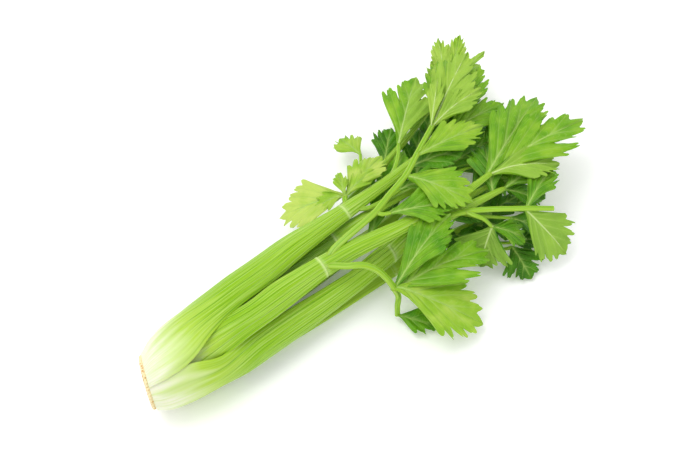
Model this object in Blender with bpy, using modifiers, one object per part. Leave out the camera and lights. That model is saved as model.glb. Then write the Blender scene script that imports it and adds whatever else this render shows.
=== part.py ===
"""A head of celery lying on its side.

Thick ribbed stalks grow in layers from a cut root plate (the crown). Each stalk is one sub-part
up to its pale joint, and one frond from there on: the stem, its side stems and toothed leaflets.
Sizes are in millimetres in the head's own frame: x runs along the head from the cut to the
leaves, z is up from the surface it lies on, and y is to the far side. MM turns them to metres.
"""
import math

import bmesh
import bpy
import numpy as np
from mathutils import Vector

MM = 0.001
HEAD_SHIFT = (-221.2, -20.3, 0.0)   # from the head's own frame to the middle of its underside

GAP = 0.3                 # between sub-parts that touch
CROWN_RADIUS = 21.0
CROWN_THICKNESS = 4.0
CROWN_SIDES = 28
HEAD_AXIS = (1.0, 34.0)   # y, z of the middle of the head at its base
CUT_SLANT = (0.365, -0.084)   # how far the cut leans along x, per mm of y and of z
SLANT_FADE = 62.0         # the lean has died out this far from the cut

# Radius of each layer of stalk bases, by distance from the cut.
OUTER_LAYER = {4.3: 23.0, 12.0: 28.0, 26.0: 32.0, 36.0: 33.2, 50.0: 34.0}
MIDDLE_LAYER = {4.3: 17.6, 12.0: 21.5, 26.0: 25.0, 50.0: 27.0}
INNER_LAYER = {4.3: 12.6, 12.0: 15.3, 26.0: 18.0, 50.0: 20.0}

RIB_HEIGHT = 0.7
EDGE_THICKNESS = 2.2
FLAT_DEPTH = 1.0          # how far the two lowest stalks are pressed flat
CLEARANCE = 1.7           # between the middles of blades that lie over each other
LEAF_THICKNESS = 0.8
ARCH, FOLD, WAVE = 0.05, 0.10, 0.07   # of a leaflet's length, and of its half width
OWN_LIFT = 4.0            # the most that a leaflet is raised over others of its own frond
LIFT_STEPS = 10


def layer(radii, rows):
    """Stalk bases wrapped round the head's axis: rows of a stalk's table.

    Each row given: distance along, which way the back faces, half the angle that the base
    spans, and its depth."""
    table = []
    for x, turn, half, depth in rows:
        radius = float(np.interp(x, list(radii), list(radii.values())))
        table.append((x, HEAD_AXIS[0] + radius * math.sin(math.radians(turn)),
                      HEAD_AXIS[1] + radius * math.cos(math.radians(turn)),
                      turn, 2 * radius * math.sin(math.radians(half)), radius, depth))
    return table


# Each row: distance along the head, y and z of the middle of the stalk's back, which way the
# back faces (degrees from up, towards the far side), width, radius of the back, depth.
STALKS = {
    "under_far": (layer(OUTER_LAYER, [
        (4.3, 147, 56, 4.6), (12, 146, 55, 4.8), (26, 144, 53, 5.3), (50, 140, 50, 6.0)]) + [
        (70, 22, 2, 160, 37, 24, 8), (95, 19.5, -FLAT_DEPTH, 176, 28, 18, 11.5),
        (150, 20, -FLAT_DEPTH, 178, 26, 16, 11.5), (215, 22, -FLAT_DEPTH, 180, 18, 10.5, 9.5)],
        [(250, 25, 1, 180, 12, 6.6, 8.0), (310, 36, 2, 180, 8, 4.4, 6.0),
         (365, 50, 3, 180, 5, 2.8, 4.4)]),
    "under_near": (layer(MIDDLE_LAYER, [
        (4.3, -147, 55, 4.0), (12, -148, 54, 4.3), (26, -149, 52, 4.7), (50, -150, 48, 5.5)]) + [
        (70, -13, 3.5, -165, 22, 18, 8), (95, -11, -FLAT_DEPTH, -174, 25, 17, 11),
        (150, -12, -FLAT_DEPTH, -178, 24, 15, 11), (235, -14, -FLAT_DEPTH, -180, 16, 10, 9.5)],
        [(270, -15, 1, -180, 10, 5.6, 7.0), (310, -18, 2, -180, 7.4, 4.2, 5.6),
         (345, -24, 3, -180, 5, 2.8, 4.4)]),
    "side": (layer(MIDDLE_LAYER, [
        (4.3, 93, 55, 4.0), (12, 92, 54, 4.3), (26, 91, 53, 4.7), (50, 90, 50, 5.5)]) + [
        (95, 38, 30, 92, 26, 16, 10), (150, 44, 30, 92, 24, 14, 10), (225, 50, 31, 92, 17, 10, 8.5)],
        [(265, 61, 31, 80, 11, 6.0, 7.6), (320, 78, 31, 60, 8, 4.4, 6.0),
         (392, 104, 31, 30, 4.6, 2.6, 4.2)]),
    "heart": ([(4.3, 1, 42.2, 0, 15.8, 8.2, 14.4), (26, 1, 44.5, 0, 20.2, 10.5, 18.2),
               (50, 1, 46.5, 0, 24, 12.5, 21.5), (95, 6, 42, 0, 23, 12, 20.5),
               (150, 6, 38, 0, 19.2, 10, 17), (180, 6, 34, 0, 15.2, 8, 13.6)],
              [(215, 7, 31, 0, 9.6, 5.2, 8.4), (255, 8, 28, 0, 6.6, 3.6, 6.0),
               (288, 9, 26, 0, 4.6, 2.6, 4.2)]),
    "inner_near": (layer(INNER_LAYER, [
        (4.3, -140, 76, 3.6), (12, -139, 73, 3.8), (26, -136, 67, 4.2), (50, -132, 58, 5.0)]) + [
        (95, -18, 27, -95, 23, 14, 9), (150, -17, 25, -95, 20, 12, 9), (190, -15, 23, -95, 15, 9, 8.5)],
        [(235, -11.5, 25, -90, 10, 5.6, 7.6), (295, -12, 26, -70, 7, 4.0, 5.8),
         (345, -12, 24, -40, 4.6, 2.6, 4.2)]),
    "inner_far": (layer(INNER_LAYER, [
        (4.3, 40, 76, 3.6), (12, 40, 73, 3.8), (26, 39, 67, 4.2), (50, 38, 58, 5.0)]) + [
        (95, 16, 52, 18, 24, 15, 9), (150, 20.5, 47.5, 15, 21, 13, 9.5), (200, 24, 42, 10, 17, 10, 9)],
        [(245, 22, 40, 10, 10, 5.6, 7.6), (305, 20, 37, 10, 7, 4.0, 5.8),
         (360, 22, 34, 0, 4.6, 2.6, 4.2)]),
    "near": (layer(OUTER_LAYER, [
        (4.3, -93.5, 55, 4.6), (12, -93.5, 55, 4.8), (26, -93.5, 55, 5.2), (36, -95, 53.5, 5.6),
        (50, -99, 46, 6.0)]) + [
        (70, -32.5, 31, -80, 36, 24, 8), (90, -31, 35, -62, 30, 18, 10),
        (124, -28.5, 33.5, -60, 29, 17.5, 10),
        (160, -26, 32.5, -58, 25, 15, 10), (200, -23, 33, -55, 20, 12, 9), (233, -20, 35, -52, 17, 10, 8.5)],
        [(262, -23, 38, -40, 11.5, 6.2, 8.4), (305, -26.5, 39, -25, 8.2, 4.6, 6.6),
         (345, -30, 38.5, -10, 4.8, 2.7, 4.3)]),
    "far": (layer(OUTER_LAYER, [
        (4.3, 26.5, 60.5, 4.6), (12, 26.5, 60.5, 4.8), (26, 26.5, 60.5, 5.2), (36, 27, 58.5, 5.6),
        (50, 28, 50, 6.0)]) + [
        (74, 16.5, 66.5, 12, 34.5, 21.5, 8.5), (98, 18.3, 67, 3, 30, 18, 10.5),
        (128, 21.5, 65, 3, 30, 17.5, 11), (158, 26.5, 62, 3, 27, 16, 11),
        (190, 30, 58, 5, 22, 13, 10), (219, 33, 54.5, 8, 18, 10.5, 9)],
        [(250, 34.5, 53.5, 5, 13, 7.2, 9.0), (300, 40, 50.5, 0, 9.6, 5.2, 7.4),
         (357, 53.5, 45, 0, 4.8, 2.7, 4.3)]),
    "middle": (layer(MIDDLE_LAYER, [
        (4.3, -25, 55, 4.0), (12, -25, 54, 4.3), (26, -26, 53, 4.7), (50, -24, 46, 5.5)]) + [
        (59, -9.8, 60.5, -19, 25, 22, 6.5), (66, -12.4, 60.3, -17, 27.5, 20, 7.5),
        (82, -11, 59.5, -12, 24, 16, 9), (98, -11.5, 61, -17, 24, 16, 9.5), (121, -10, 61.5, -24, 25, 16, 10),
        (150, -8, 60.5, -25, 21.5, 13, 10), (169, -6.7, 59.5, -25, 19, 11, 9.5)],
        [(198, -10, 62, -22, 16.5, 9.4, 9.8), (227, -14, 61, -20, 14.5, 8.0, 9.4),
         (262, -17, 58.5, -15, 11.5, 6.4, 8.4), (295, -18, 56, -10, 8.6, 4.8, 7.0),
         (344, -14, 54, 0, 4.8, 2.7, 4.3)]),
}
PLAIN_STALKS = ("under_far", "under_near", "side", "heart", "inner_near", "inner_far")

# Side stems: the frond, a name, the points it runs through, radius at its root and at its end.
SIDE_STEMS = [
    ("middle", "left", [(171, -2, 55), (184, 0, 61), (205, 2, 66), (227, 5, 67.5), (252, 14, 66),
                        (275, 22, 65), (299, 36, 63), (332, 55, 60)], 3.1, 2.4),
    ("middle", "right", [(171, -13, 54), (182, -19, 60), (192, -26, 61), (200, -33, 57),
                         (207, -41, 46), (211, -48, 34)], 2.8, 2.8),
    ("middle", "drop", [(211, -47, 35), (212, -51, 26), (210, -53, 15), (208, -56, 6)], 2.7, 2.2),
    ("middle", "left_low", [(227, 5, 67), (234, 1, 67), (241, -2, 66.5)], 1.9, 1.6),
    ("far", "left", [(224, 36, 49), (226, 42, 49), (230, 46, 47)], 2.6, 2.0),
    ("far", "right", [(222, 28, 50), (240, 22.5, 50), (256, 21.5, 50), (270, 22, 50)], 2.2, 1.6),
    ("far", "upright", [(266, 36, 48), (280, 43, 47), (293, 54, 45), (303, 66, 43)], 2.2, 1.6),
    ("near", "rising", [(238, -19, 33), (252, -19, 40), (270, -21, 45), (290, -28, 50), (312, -41, 52.5),
                        (336, -57, 52), (360, -73, 50)], 2.8, 2.2),
    ("near", "rising_drop", [(292, -29, 49.5), (300, -38, 50), (306, -45, 47), (311, -52, 39)], 2.0, 1.6),
    ("near", "low", [(236, -25, 28), (252, -31, 20), (272, -40, 12), (302, -54, 8), (327, -64, 7)], 2.4, 1.6),
    ("side", "left", [(258, 60, 27), (268, 74, 27), (276, 86, 26)], 1.9, 1.4),
    ("inner_far", "left", [(300, 21, 37), (325, 34, 37), (345, 48, 36)], 1.8, 1.4),
    ("inner_far", "right", [(300, 20, 37), (330, 12, 37), (356, 6, 37)], 1.8, 1.4),
    ("inner_near", "right", [(290, -13, 23), (315, -30, 20), (338, -46, 16)], 1.8, 1.4),
    ("under_far", "left", [(300, 34, 5), (322, 58, 5), (345, 78, 4)], 1.9, 1.4),
    ("under_near", "right", [(290, -17, 5), (312, -38, 4), (334, -54, 3.5)], 1.8, 1.4),
]

# Side stems that fork from another side stem, and how far along it.
FORKS = {"drop": ("right", 0.98), "rising_drop": ("rising", 0.47), "left_low": ("left", 0.36)}

# Half outlines of a leaflet. Each row: how far along it, how far out, and where along the
# midrib the vein to that point leaves it, all as fractions of its length and half width.
BROAD = [(0.00, 0.04, 0.00), (0.17, 0.25, 0.02), (0.44, 0.80, 0.06), (0.54, 1.00, 0.10),
         (0.57, 0.82, 0.14), (0.71, 0.92, 0.19), (0.66, 0.62, 0.25), (0.83, 0.70, 0.33),
         (0.79, 0.44, 0.44), (0.93, 0.42, 0.57), (0.89, 0.26, 0.70), (1.00, 0.00, 1.00)]
LOBED = [(0.00, 0.04, 0.00), (0.16, 0.24, 0.02), (0.43, 0.80, 0.06), (0.54, 1.00, 0.09),
         (0.57, 0.83, 0.12), (0.71, 0.88, 0.16), (0.65, 0.60, 0.20), (0.55, 0.33, 0.28),
         (0.76, 0.58, 0.38), (0.75, 0.42, 0.48), (0.91, 0.42, 0.60), (0.88, 0.25, 0.73),
         (1.00, 0.00, 1.00)]
PLAIN = [(0.00, 0.04, 0.00), (0.18, 0.26, 0.03), (0.53, 1.00, 0.10), (0.55, 0.76, 0.20),
         (0.75, 0.78, 0.33), (0.70, 0.48, 0.47), (0.90, 0.40, 0.65), (1.00, 0.00, 1.00)]

# Leaflets: the frond, the stem it grows from ("stem" is the main one), how far along that,
# the tip, the width, the outline, and how far it is rolled about its midrib in degrees.
LEAFLETS = [
    ("under_far", "stem", 1.0, (425, 76, 5), 38, PLAIN, 0),
    ("under_far", "left", 1.0, (384, 112, 4), 36, PLAIN, 0),
    ("under_far", "stem", 0.8, (388, 22, 5), 32, PLAIN, 0),
    ("under_far", "stem", 0.35, (308, 80, 4), 34, PLAIN, 0),
    ("under_far", "stem", 0.55, (348, 90, 4), 36, PLAIN, 0),
    ("under_near", "stem", 1.0, (394, -33, 4), 30, PLAIN, 0),
    ("under_near", "right", 1.0, (362, -69, 3), 28, PLAIN, 0),
    ("under_near", "stem", 0.8, (366, 8, 5), 34, PLAIN, 0),
    ("under_near", "stem", 0.6, (307, -38, 3), 36, PLAIN, 0),
    ("under_near", "stem", 0.42, (300, -22, 3), 34, PLAIN, 0),
    ("under_near", "stem", 0.72, (340, -39, 3), 34, PLAIN, 0),
    ("under_near", "stem", 0.9, (368, -22, 4), 30, PLAIN, 0),
    ("under_near", "stem", 0.84, (336, -53, 3), 26, PLAIN, 0),
    ("side", "stem", 1.0, (440, 146, 28), 19, BROAD, 0),
    ("side", "stem", 0.96, (418, 152, 30), 20, BROAD, 0),
    ("side", "stem", 0.88, (398, 133, 28), 20, PLAIN, 0),
    ("side", "stem", 0.9, (442, 112, 33), 15, PLAIN, 0),
    ("side", "stem", 0.36, (318, 96, 26), 30, BROAD, 0),
    ("side", "left", 1.0, (278, 120, 16), 28, BROAD, 0),
    ("side", "stem", 0.62, (362, 118, 24), 32, PLAIN, 0),
    ("heart", "stem", 1.0, (334, 12, 22), 32, PLAIN, 0),
    ("heart", "stem", 0.75, (302, -8, 22), 20, PLAIN, 0),
    ("heart", "stem", 0.4, (308, 63, 24), 30, PLAIN, 0),
    ("heart", "stem", 0.9, (323, -11, 22), 28, PLAIN, 0),
    ("inner_near", "stem", 1.0, (404, -21, 24), 34, PLAIN, 0),
    ("inner_near", "stem", 0.85, (382, 16, 24), 26, PLAIN, 0),
    ("inner_near", "right", 1.0, (363, -67, 10), 28, PLAIN, 0),
    ("inner_near", "stem", 0.6, (331, -31, 20), 26, PLAIN, 0),
    ("inner_near", "stem", 0.35, (298, -17, 18), 22, PLAIN, 0),
    ("inner_far", "stem", 1.0, (430, 32, 36), 42, BROAD, 0),
    ("inner_far", "left", 1.0, (400, 84, 34), 40, BROAD, 0),
    ("inner_far", "right", 1.0, (414, -8, 34), 38, BROAD, 0),
    ("inner_far", "right", 0.9, (356, -36, 36), 32, BROAD, 0),
    ("inner_far", "stem", 0.7, (378, 23, 34), 32, PLAIN, 0),
    ("near", "stem", 0.97, (371, -49, 26), 24, BROAD, 0),
    ("near", "low", 1.0, (324, -94, 3), 42, LOBED, 0),
    ("near", "rising_drop", 1.0, (295, -59, 7), 52, LOBED, 0),
    ("near", "rising_drop", 0.97, (335, -71, 28), 28, BROAD, 0),
    ("near", "stem", 1.0, (400, -31, 32), 40, BROAD, 0),
    ("near", "stem", 0.88, (362, 20, 34), 38, BROAD, 0),
    ("near", "rising", 0.82, (361, -96, 12), 46, BROAD, 25),
    ("near", "rising", 0.83, (390, -38, 46), 26, BROAD, 0),
    ("far", "stem", 0.5, (338, 20, 45), 34, PLAIN, 0),
    ("far", "stem", 0.86, (404, 124, 34), 38, BROAD, 0),
    ("far", "stem", 0.84, (409, 47, 40), 34, BROAD, 0),
    ("far", "stem", 1.0, (422, 97, 38), 34, LOBED, 0),
    ("far", "right", 1.0, (318, 2, 47), 30, BROAD, 0),
    ("far", "upright", 1.0, (366, 121, 36), 48, LOBED, 0),
    ("far", "left", 1.0, (179, 73, 21), 54, BROAD, 10),
    ("far", "left", 0.95, (284, 65, 42), 36, BROAD, -20),
    ("far", "left", 0.9, (201, 55, 31), 20, PLAIN, 0),
    ("far", "left", 0.88, (266, 53, 45), 20, PLAIN, 0),
    ("far", "left", 0.86, (239, 70, 44), 14, PLAIN, 0),
    ("middle", "drop", 1.0, (230, -84, 3), 26, PLAIN, 0),
    ("middle", "right", 1.0, (300, -63, 7), 54, LOBED, 0),
    ("middle", "right", 0.98, (285, -28, 30), 36, BROAD, 0),
    ("middle", "right", 0.97, (259, -107, 6), 60, BROAD, 0),
    ("middle", "stem", 0.97, (397, -40, 40), 34, BROAD, 0),
    ("middle", "stem", 0.94, (437, 34, 44), 50, BROAD, 0),
    ("middle", "stem", 1.0, (450, -13, 44), 54, LOBED, 0),
    ("middle", "left_low", 1.0, (292, -22, 60), 36, BROAD, 0),
    ("middle", "left", 0.63, (306, -31, 58), 44, BROAD, 0),
    ("middle", "left", 0.77, (368, 29, 58), 36, BROAD, 0),
    ("middle", "left", 1.0, (417, 109, 52), 40, LOBED, 0),
    ("middle", "left", 0.98, (394, 63, 55), 26, BROAD, 0),
    ("middle", "left", 0.97, (374, 99, 56), 15, PLAIN, 0),
]

COLOURS = {
    "crown": ((0.80, 0.60, 0.30), 0.7),
    "stalk": ((0.52, 0.75, 0.12), 0.35),
    "frond": ((0.25, 0.52, 0.05), 0.45),
}


def flow(rows, x):
    """Values at x of a table whose first column is x: smooth, without overshoot."""
    rows = np.array(rows, float)
    xs, values = rows[:, 0], rows[:, 1:]
    steps = np.diff(xs)[:, None]
    slopes = np.diff(values, axis=0) / steps
    tangents = np.zeros_like(values)
    tangents[0], tangents[-1] = slopes[0], slopes[-1]
    before, after = 2 * steps[1:] + steps[:-1], steps[1:] + 2 * steps[:-1]
    same = slopes[:-1] * slopes[1:] > 0
    safe_a = np.where(same, slopes[:-1], 1.0)
    safe_b = np.where(same, slopes[1:], 1.0)
    tangents[1:-1] = np.where(same, (before + after) / (before / safe_a + after / safe_b), 0.0)
    x = np.atleast_1d(np.asarray(x, float))
    i = np.clip(np.searchsorted(xs, x, side="right") - 1, 0, len(xs) - 2)
    h = steps[i]
    t = np.clip((x - xs[i])[:, None] / h, 0.0, 1.0)
    return ((2 * t**3 - 3 * t**2 + 1) * values[i] + (t**3 - 2 * t**2 + t) * h * tangents[i]
            + (3 * t**2 - 2 * t**3) * values[i + 1] + (t**3 - t**2) * h * tangents[i + 1])


def section(rows, x, outer, inner, rib):
    """Points round a stalk at x: a ribbed back on an arc, and a hollowed front behind it."""
    y, z, turn, width, radius, depth = flow(rows, x)[0]
    turn = math.radians(turn)
    back = np.array([math.sin(turn), math.cos(turn)])
    across = np.array([math.cos(turn), -math.sin(turn)])
    radius = max(radius, width / 1.97)
    half = math.asin(width / 2 / radius)

    def arc(angles, inset):
        out = np.outer(np.cos(angles), back) + np.outer(np.sin(angles), across)
        return np.array([y, z]) - radius * back + (radius - inset)[:, None] * out

    angles = np.linspace(-half, half, outer)
    ribbed = arc(angles, rib * (1 - np.arange(outer) % 2))
    angles = np.linspace(half, -half, inner)
    edge = min(EDGE_THICKNESS, 0.3 * depth)
    inset = edge + (depth - edge) * (1 - (angles / half) ** 2)
    hollow = arc(angles, 0.35 * inset) - 0.65 * inset[:, None] * back
    points = np.vstack([ribbed, hollow])
    points[:, 1] = np.maximum(points[:, 1], 0.0)
    return np.column_stack([np.full(len(points), x), points])


def lean(points):
    """The cut is not square to the head: shear the base along x, fading out up the head."""
    points = np.array(points, float)
    fade = np.clip(1 - points[:, 0] / SLANT_FADE, 0, 1)
    fade = fade * fade * (3 - 2 * fade)
    across = points[:, 1:] - HEAD_AXIS
    points[:, 0] += across @ CUT_SLANT * fade
    return points


class HeightMap:
    """The top of what lies at each place, on a grid, to bend stems and leaflets clear of it."""
    STEP, X0, Y0, NX, NY = 2.0, 130.0, -140.0, 180, 170

    def __init__(self, level=-1.0e3):
        self.top = np.full((self.NX, self.NY), level)

    def cells(self, points):
        i = np.clip(((points[:, 0] - self.X0) / self.STEP).astype(int), 1, self.NX - 2)
        j = np.clip(((points[:, 1] - self.Y0) / self.STEP).astype(int), 1, self.NY - 2)
        return i, j

    def add(self, points):
        i, j = self.cells(points)
        np.maximum.at(self.top, (i, j), points[:, 2])

    def under(self, points):
        i, j = self.cells(points)
        found = self.top[i, j]
        for di in (-1, 0, 1):
            for dj in (-1, 0, 1):
                found = np.maximum(found, self.top[i + di, j + dj])
        return found


def lift_table(points, along, heights, start, margin):
    """How much to raise a piece, by how far along it, to clear what lies below it.

    The raise grows from nothing at the root to what each obstacle needs, and stays."""
    need = np.full(len(points), -1.0e3)
    for level in heights:
        need = np.maximum(need, level.under(points) + margin - points[:, 2])
    knots = np.linspace(0, 1, LIFT_STEPS + 1)
    wanted = np.zeros(LIFT_STEPS + 1)
    for k in range(1, LIFT_STEPS + 1):
        near = (np.abs(along - knots[k]) <= 0.75 / LIFT_STEPS) & (along > start)
        if near.any():
            wanted[k] = max(0.0, need[near].max())
    lift = np.zeros(LIFT_STEPS + 1)
    for k in range(1, LIFT_STEPS + 1):
        reach = np.minimum(1.0, knots[k] / knots[1:])
        lift[k] = (wanted[1:] * np.sin(reach * math.pi / 2)).max()
    return np.column_stack([knots, lift])


def lifted(points, along, table):
    points = np.array(points, float)
    points[:, 2] += flow(table, along)[:, 0]
    return points


def leaflet_points(leaf, base, x, out, side):
    """Points of a leaflet at fractions x along it and out across it: arched and waved."""
    tip = np.array(leaf[3], float)
    reach = tip - base
    length = np.linalg.norm(reach)
    ahead = reach / length
    level = np.cross([0, 0, 1.0], ahead)
    level /= np.linalg.norm(level)
    up = np.cross(ahead, level)
    roll = math.radians(leaf[6])
    across = math.cos(roll) * level + math.sin(roll) * up
    normal = np.cross(ahead, across)
    half = leaf[4] / 2
    phase = 0.37 * leaf[3][0] + 0.61 * leaf[3][1]
    height = (ARCH * length * np.sin(math.pi * x) + FOLD * half * out
              + WAVE * half * out ** 2 * np.sin(9.0 * x + side * 1.3 + phase))
    return (base + np.outer(x, reach) + np.outer(side * out * half, across)
            + np.outer(height, normal)), normal


def leaflet_grid(leaf, base, rows, columns):
    """A fixed net of points on a leaflet, with how far along it each lies."""
    outline = np.array(leaf[5])
    steps = np.linspace(0, len(outline) - 1, rows * (len(outline) - 1) + 1)
    edge = np.column_stack([np.interp(steps, np.arange(len(outline)), outline[:, c]) for c in range(3)])
    points, along = [], []
    for side in (1, -1):
        for v in np.linspace(0, 1, columns):
            x = edge[:, 2] + v * (edge[:, 0] - edge[:, 2])
            points.append(leaflet_points(leaf, base, x, v * edge[:, 1], side)[0])
            along.append(x)
    return np.vstack(points), np.concatenate(along)


def stem_rows(name):
    """A frond's main stem, from the joint at the end of its stalk."""
    stalk, stem = STALKS[name]
    return [stalk[-1]] + stem


def stem_middle(rows, x, table):
    """The middle of a frond's main stem at x, raised as the stem is."""
    y, z, turn, width, radius, depth = flow(rows, x)[0]
    turn = math.radians(turn)
    along = (x - rows[0][0]) / (rows[-1][0] - rows[0][0])
    return np.array([x, y - depth / 2 * math.sin(turn),
                     z - depth / 2 * math.cos(turn) + flow(table, along)[0, 0]])


def tube_grid(path, radii):
    """Points round a side stem, with how far along it each lies."""
    steps = np.linspace(0, 1, 40)
    centre = path_at(path, steps)
    radius = radii[0] + (radii[1] - radii[0]) * steps
    points, along = [], []
    for angle in np.linspace(0, 2 * math.pi, 8, endpoint=False):
        side = np.zeros_like(centre)
        side[:, 1] = np.cos(angle) * radius
        side[:, 2] = np.sin(angle) * radius
        points.append(centre + side)
        along.append(steps)
    return np.vstack(points), np.concatenate(along)


def path_at(path, t):
    """Points at fractions t of the way along a smooth path through the given points."""
    path = np.array(path, float)
    run = np.concatenate([[0], np.cumsum(np.linalg.norm(np.diff(path, axis=0), axis=1))])
    return flow(np.column_stack([run / run[-1], path]), t)


def arrange():
    """Bend every stem and leaflet clear of those that lie below it, from the bottom up."""
    bodies, leaves, plan = {}, {}, {}
    table_top = HeightMap(-1.3)
    for name, (stalk, stem) in STALKS.items():
        bodies[name] = HeightMap()
        leaves[name] = HeightMap()
        for x in np.arange(132.0, stalk[-1][0], 1.5):
            bodies[name].add(section(stalk, x, 25, 9, 0))
    lower = []
    for name, (stalk, stem) in STALKS.items():
        rows = stem_rows(name)
        start, end = rows[0][0], rows[-1][0]
        xs = np.arange(start, end, 1.5)
        shape = np.vstack([section(rows, x, 25, 9, 0) for x in xs])
        along = np.repeat((xs - start) / (end - start), 34)
        below = [leaves[n] for n in lower] + [table_top]
        stem_lift = lift_table(shape, along, below, 0.05, 0.5 * CLEARANCE)
        bodies[name].add(lifted(shape, along, stem_lift))
        below = [bodies[n] for n in lower] + below
        stems = {}
        for frond, label, path, root, end_radius in SIDE_STEMS:
            if frond != name:
                continue
            path = np.array(path, float)
            if label in FORKS:
                parent, table = stems[FORKS[label][0]][:2]
                fork = lifted(path_at(parent, FORKS[label][1]), [FORKS[label][1]], table)[0]
            else:
                fork = stem_middle(rows, path[0, 0], stem_lift)
            path[1:, 2] += fork[2] - path[0, 2]
            path[0] = fork
            grid, run = tube_grid(path, (root, end_radius))
            table = lift_table(grid, run, below, 0.12, 0.5 * CLEARANCE)
            leaves[name].add(lifted(grid, run, table))
            stems[label] = (path, table, root, end_radius)
        blades = []
        own = HeightMap()
        for leaf in LEAFLETS:
            if leaf[0] != name:
                continue
            if leaf[1] == "stem":
                base = stem_middle(rows, start + leaf[2] * (end - start), stem_lift)
            else:
                path, table = stems[leaf[1]][:2]
                base = lifted(path_at(path, leaf[2]), [leaf[2]], table)[0]
            if leaf[2] == 1.0:
                base = base - 1.5 * (leaf[3] - base) / np.linalg.norm(leaf[3] - base)
            grid, run = leaflet_grid(leaf, base, 4, 9)
            table = lift_table(grid, run, below, 0.14, CLEARANCE)
            over = lift_table(lifted(grid, run, table), run, [own], 0.4, 0.7 * CLEARANCE)
            table[:, 1] += np.minimum(over[:, 1], OWN_LIFT)
            own.add(lifted(grid, run, table))
            blades.append((leaf, base, table))
        leaves[name].top = np.maximum(leaves[name].top, own.top)
        plan[name] = (stem_lift, stems, blades)
        lower.append(name)
    return plan


def material(name):
    colour, roughness = COLOURS[name.split("_")[0]]
    shader = bpy.data.materials.new(name)
    shader.use_nodes = True
    principled = shader.node_tree.nodes["Principled BSDF"]
    principled.inputs["Base Color"].default_value = (*colour, 1.0)
    principled.inputs["Roughness"].default_value = roughness
    return shader


def place(points):
    return [tuple((p + np.array(HEAD_SHIFT)) * MM) for p in np.asarray(points)]


def mesh_object(name, points, faces, collection):
    mesh = bpy.data.meshes.new(name)
    mesh.from_pydata(place(points), [], faces)
    mesh.update()
    obj = bpy.data.objects.new(name, mesh)
    collection.objects.link(obj)
    return obj


def loft(name, sections, collection):
    """Skin a row of sections that have the same number of points, and close both ends."""
    count = len(sections[0])
    points = np.vstack(sections)
    faces = []
    for i in range(len(sections) - 1):
        a, b = i * count, (i + 1) * count
        for j in range(count):
            k = (j + 1) % count
            faces.append((a + j, b + j, b + k, a + k))
    last = (len(sections) - 1) * count
    faces.append(tuple(range(count)))
    faces.append(tuple(reversed(range(last, last + count))))
    obj = mesh_object(name, points, faces, collection)
    work = bmesh.new()
    work.from_mesh(obj.data)
    bmesh.ops.recalc_face_normals(work, faces=work.faces)
    bmesh.ops.triangulate(work, faces=work.faces)
    work.to_mesh(obj.data)
    work.free()
    return obj


def tube(name, path, radii, collection):
    """A tapering round stem as a curve, made a mesh so that it can be joined."""
    curve = bpy.data.curves.new(name, "CURVE")
    curve.dimensions = "3D"
    curve.bevel_depth = MM
    curve.bevel_resolution = 1
    curve.use_fill_caps = True
    spline = curve.splines.new("POLY")
    spline.points.add(len(path) - 1)
    for i, (point, at) in enumerate(zip(spline.points, place(path))):
        point.co = (*at, 1.0)
        point.radius = radii[0] + (radii[1] - radii[0]) * i / (len(path) - 1)
    guide = bpy.data.objects.new(name, curve)
    collection.objects.link(guide)
    bpy.context.view_layer.update()
    evaluated = guide.evaluated_get(bpy.context.evaluated_depsgraph_get())
    mesh = bpy.data.meshes.new_from_object(evaluated)
    work = bmesh.new()
    work.from_mesh(mesh)
    bmesh.ops.remove_doubles(work, verts=work.verts, dist=1.0e-6)
    bmesh.ops.recalc_face_normals(work, faces=work.faces)
    bmesh.ops.triangulate(work, faces=work.faces)
    work.to_mesh(mesh)
    work.free()
    obj = bpy.data.objects.new(name, mesh)
    obj.matrix_world = guide.matrix_world
    collection.objects.link(obj)
    bpy.data.objects.remove(guide)
    return obj


def blade(name, leaf, base, table, collection):
    """A leaflet: a thin plate whose two faces are split into triangles alike."""
    outline = np.array(leaf[5])
    count = len(outline)
    ribs = leaflet_points(leaf, base, outline[:, 2], np.zeros(count), 1)[0]
    rib_run = outline[:, 2]
    sheets = [lifted(ribs, rib_run, table)]
    for side in (1, -1):
        edge = leaflet_points(leaf, base, outline[:, 0], outline[:, 1], side)[0]
        sheets.append(lifted(edge[:-1], outline[:-1, 0], table))
    middle = np.vstack(sheets)
    rib = list(range(count))
    left = [count + i for i in range(count - 1)] + [count - 1]
    right = [2 * count - 1 + i for i in range(count - 1)] + [count - 1]
    triangles = []
    for i in range(count - 1):
        for edge, order in ((left, 1), (right, -1)):
            triangles.append((rib[i], rib[i + 1], edge[i])[::order])
            if edge[i + 1] != rib[i + 1]:
                triangles.append((rib[i + 1], edge[i + 1], edge[i])[::order])
    corners = middle[np.array(triangles)]
    normal = np.cross(corners[:, 1] - corners[:, 0], corners[:, 2] - corners[:, 0]).sum(axis=0)
    normal *= LEAF_THICKNESS / 2 / np.linalg.norm(normal)
    top, bottom = middle + normal, middle - normal
    n = len(middle)
    faces = list(triangles) + [tuple(v + n for v in reversed(t)) for t in triangles]
    rim = right[::-1] + [rib[0]] + left[:-1]
    for a, b in zip(rim, rim[1:] + rim[:1]):
        faces += [(a, b, b + n), (a, b + n, a + n)]
    obj = mesh_object(name, np.vstack([top, bottom]), faces, collection)
    work = bmesh.new()
    work.from_mesh(obj.data)
    bmesh.ops.recalc_face_normals(work, faces=work.faces)
    work.to_mesh(obj.data)
    work.free()
    return obj


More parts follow.
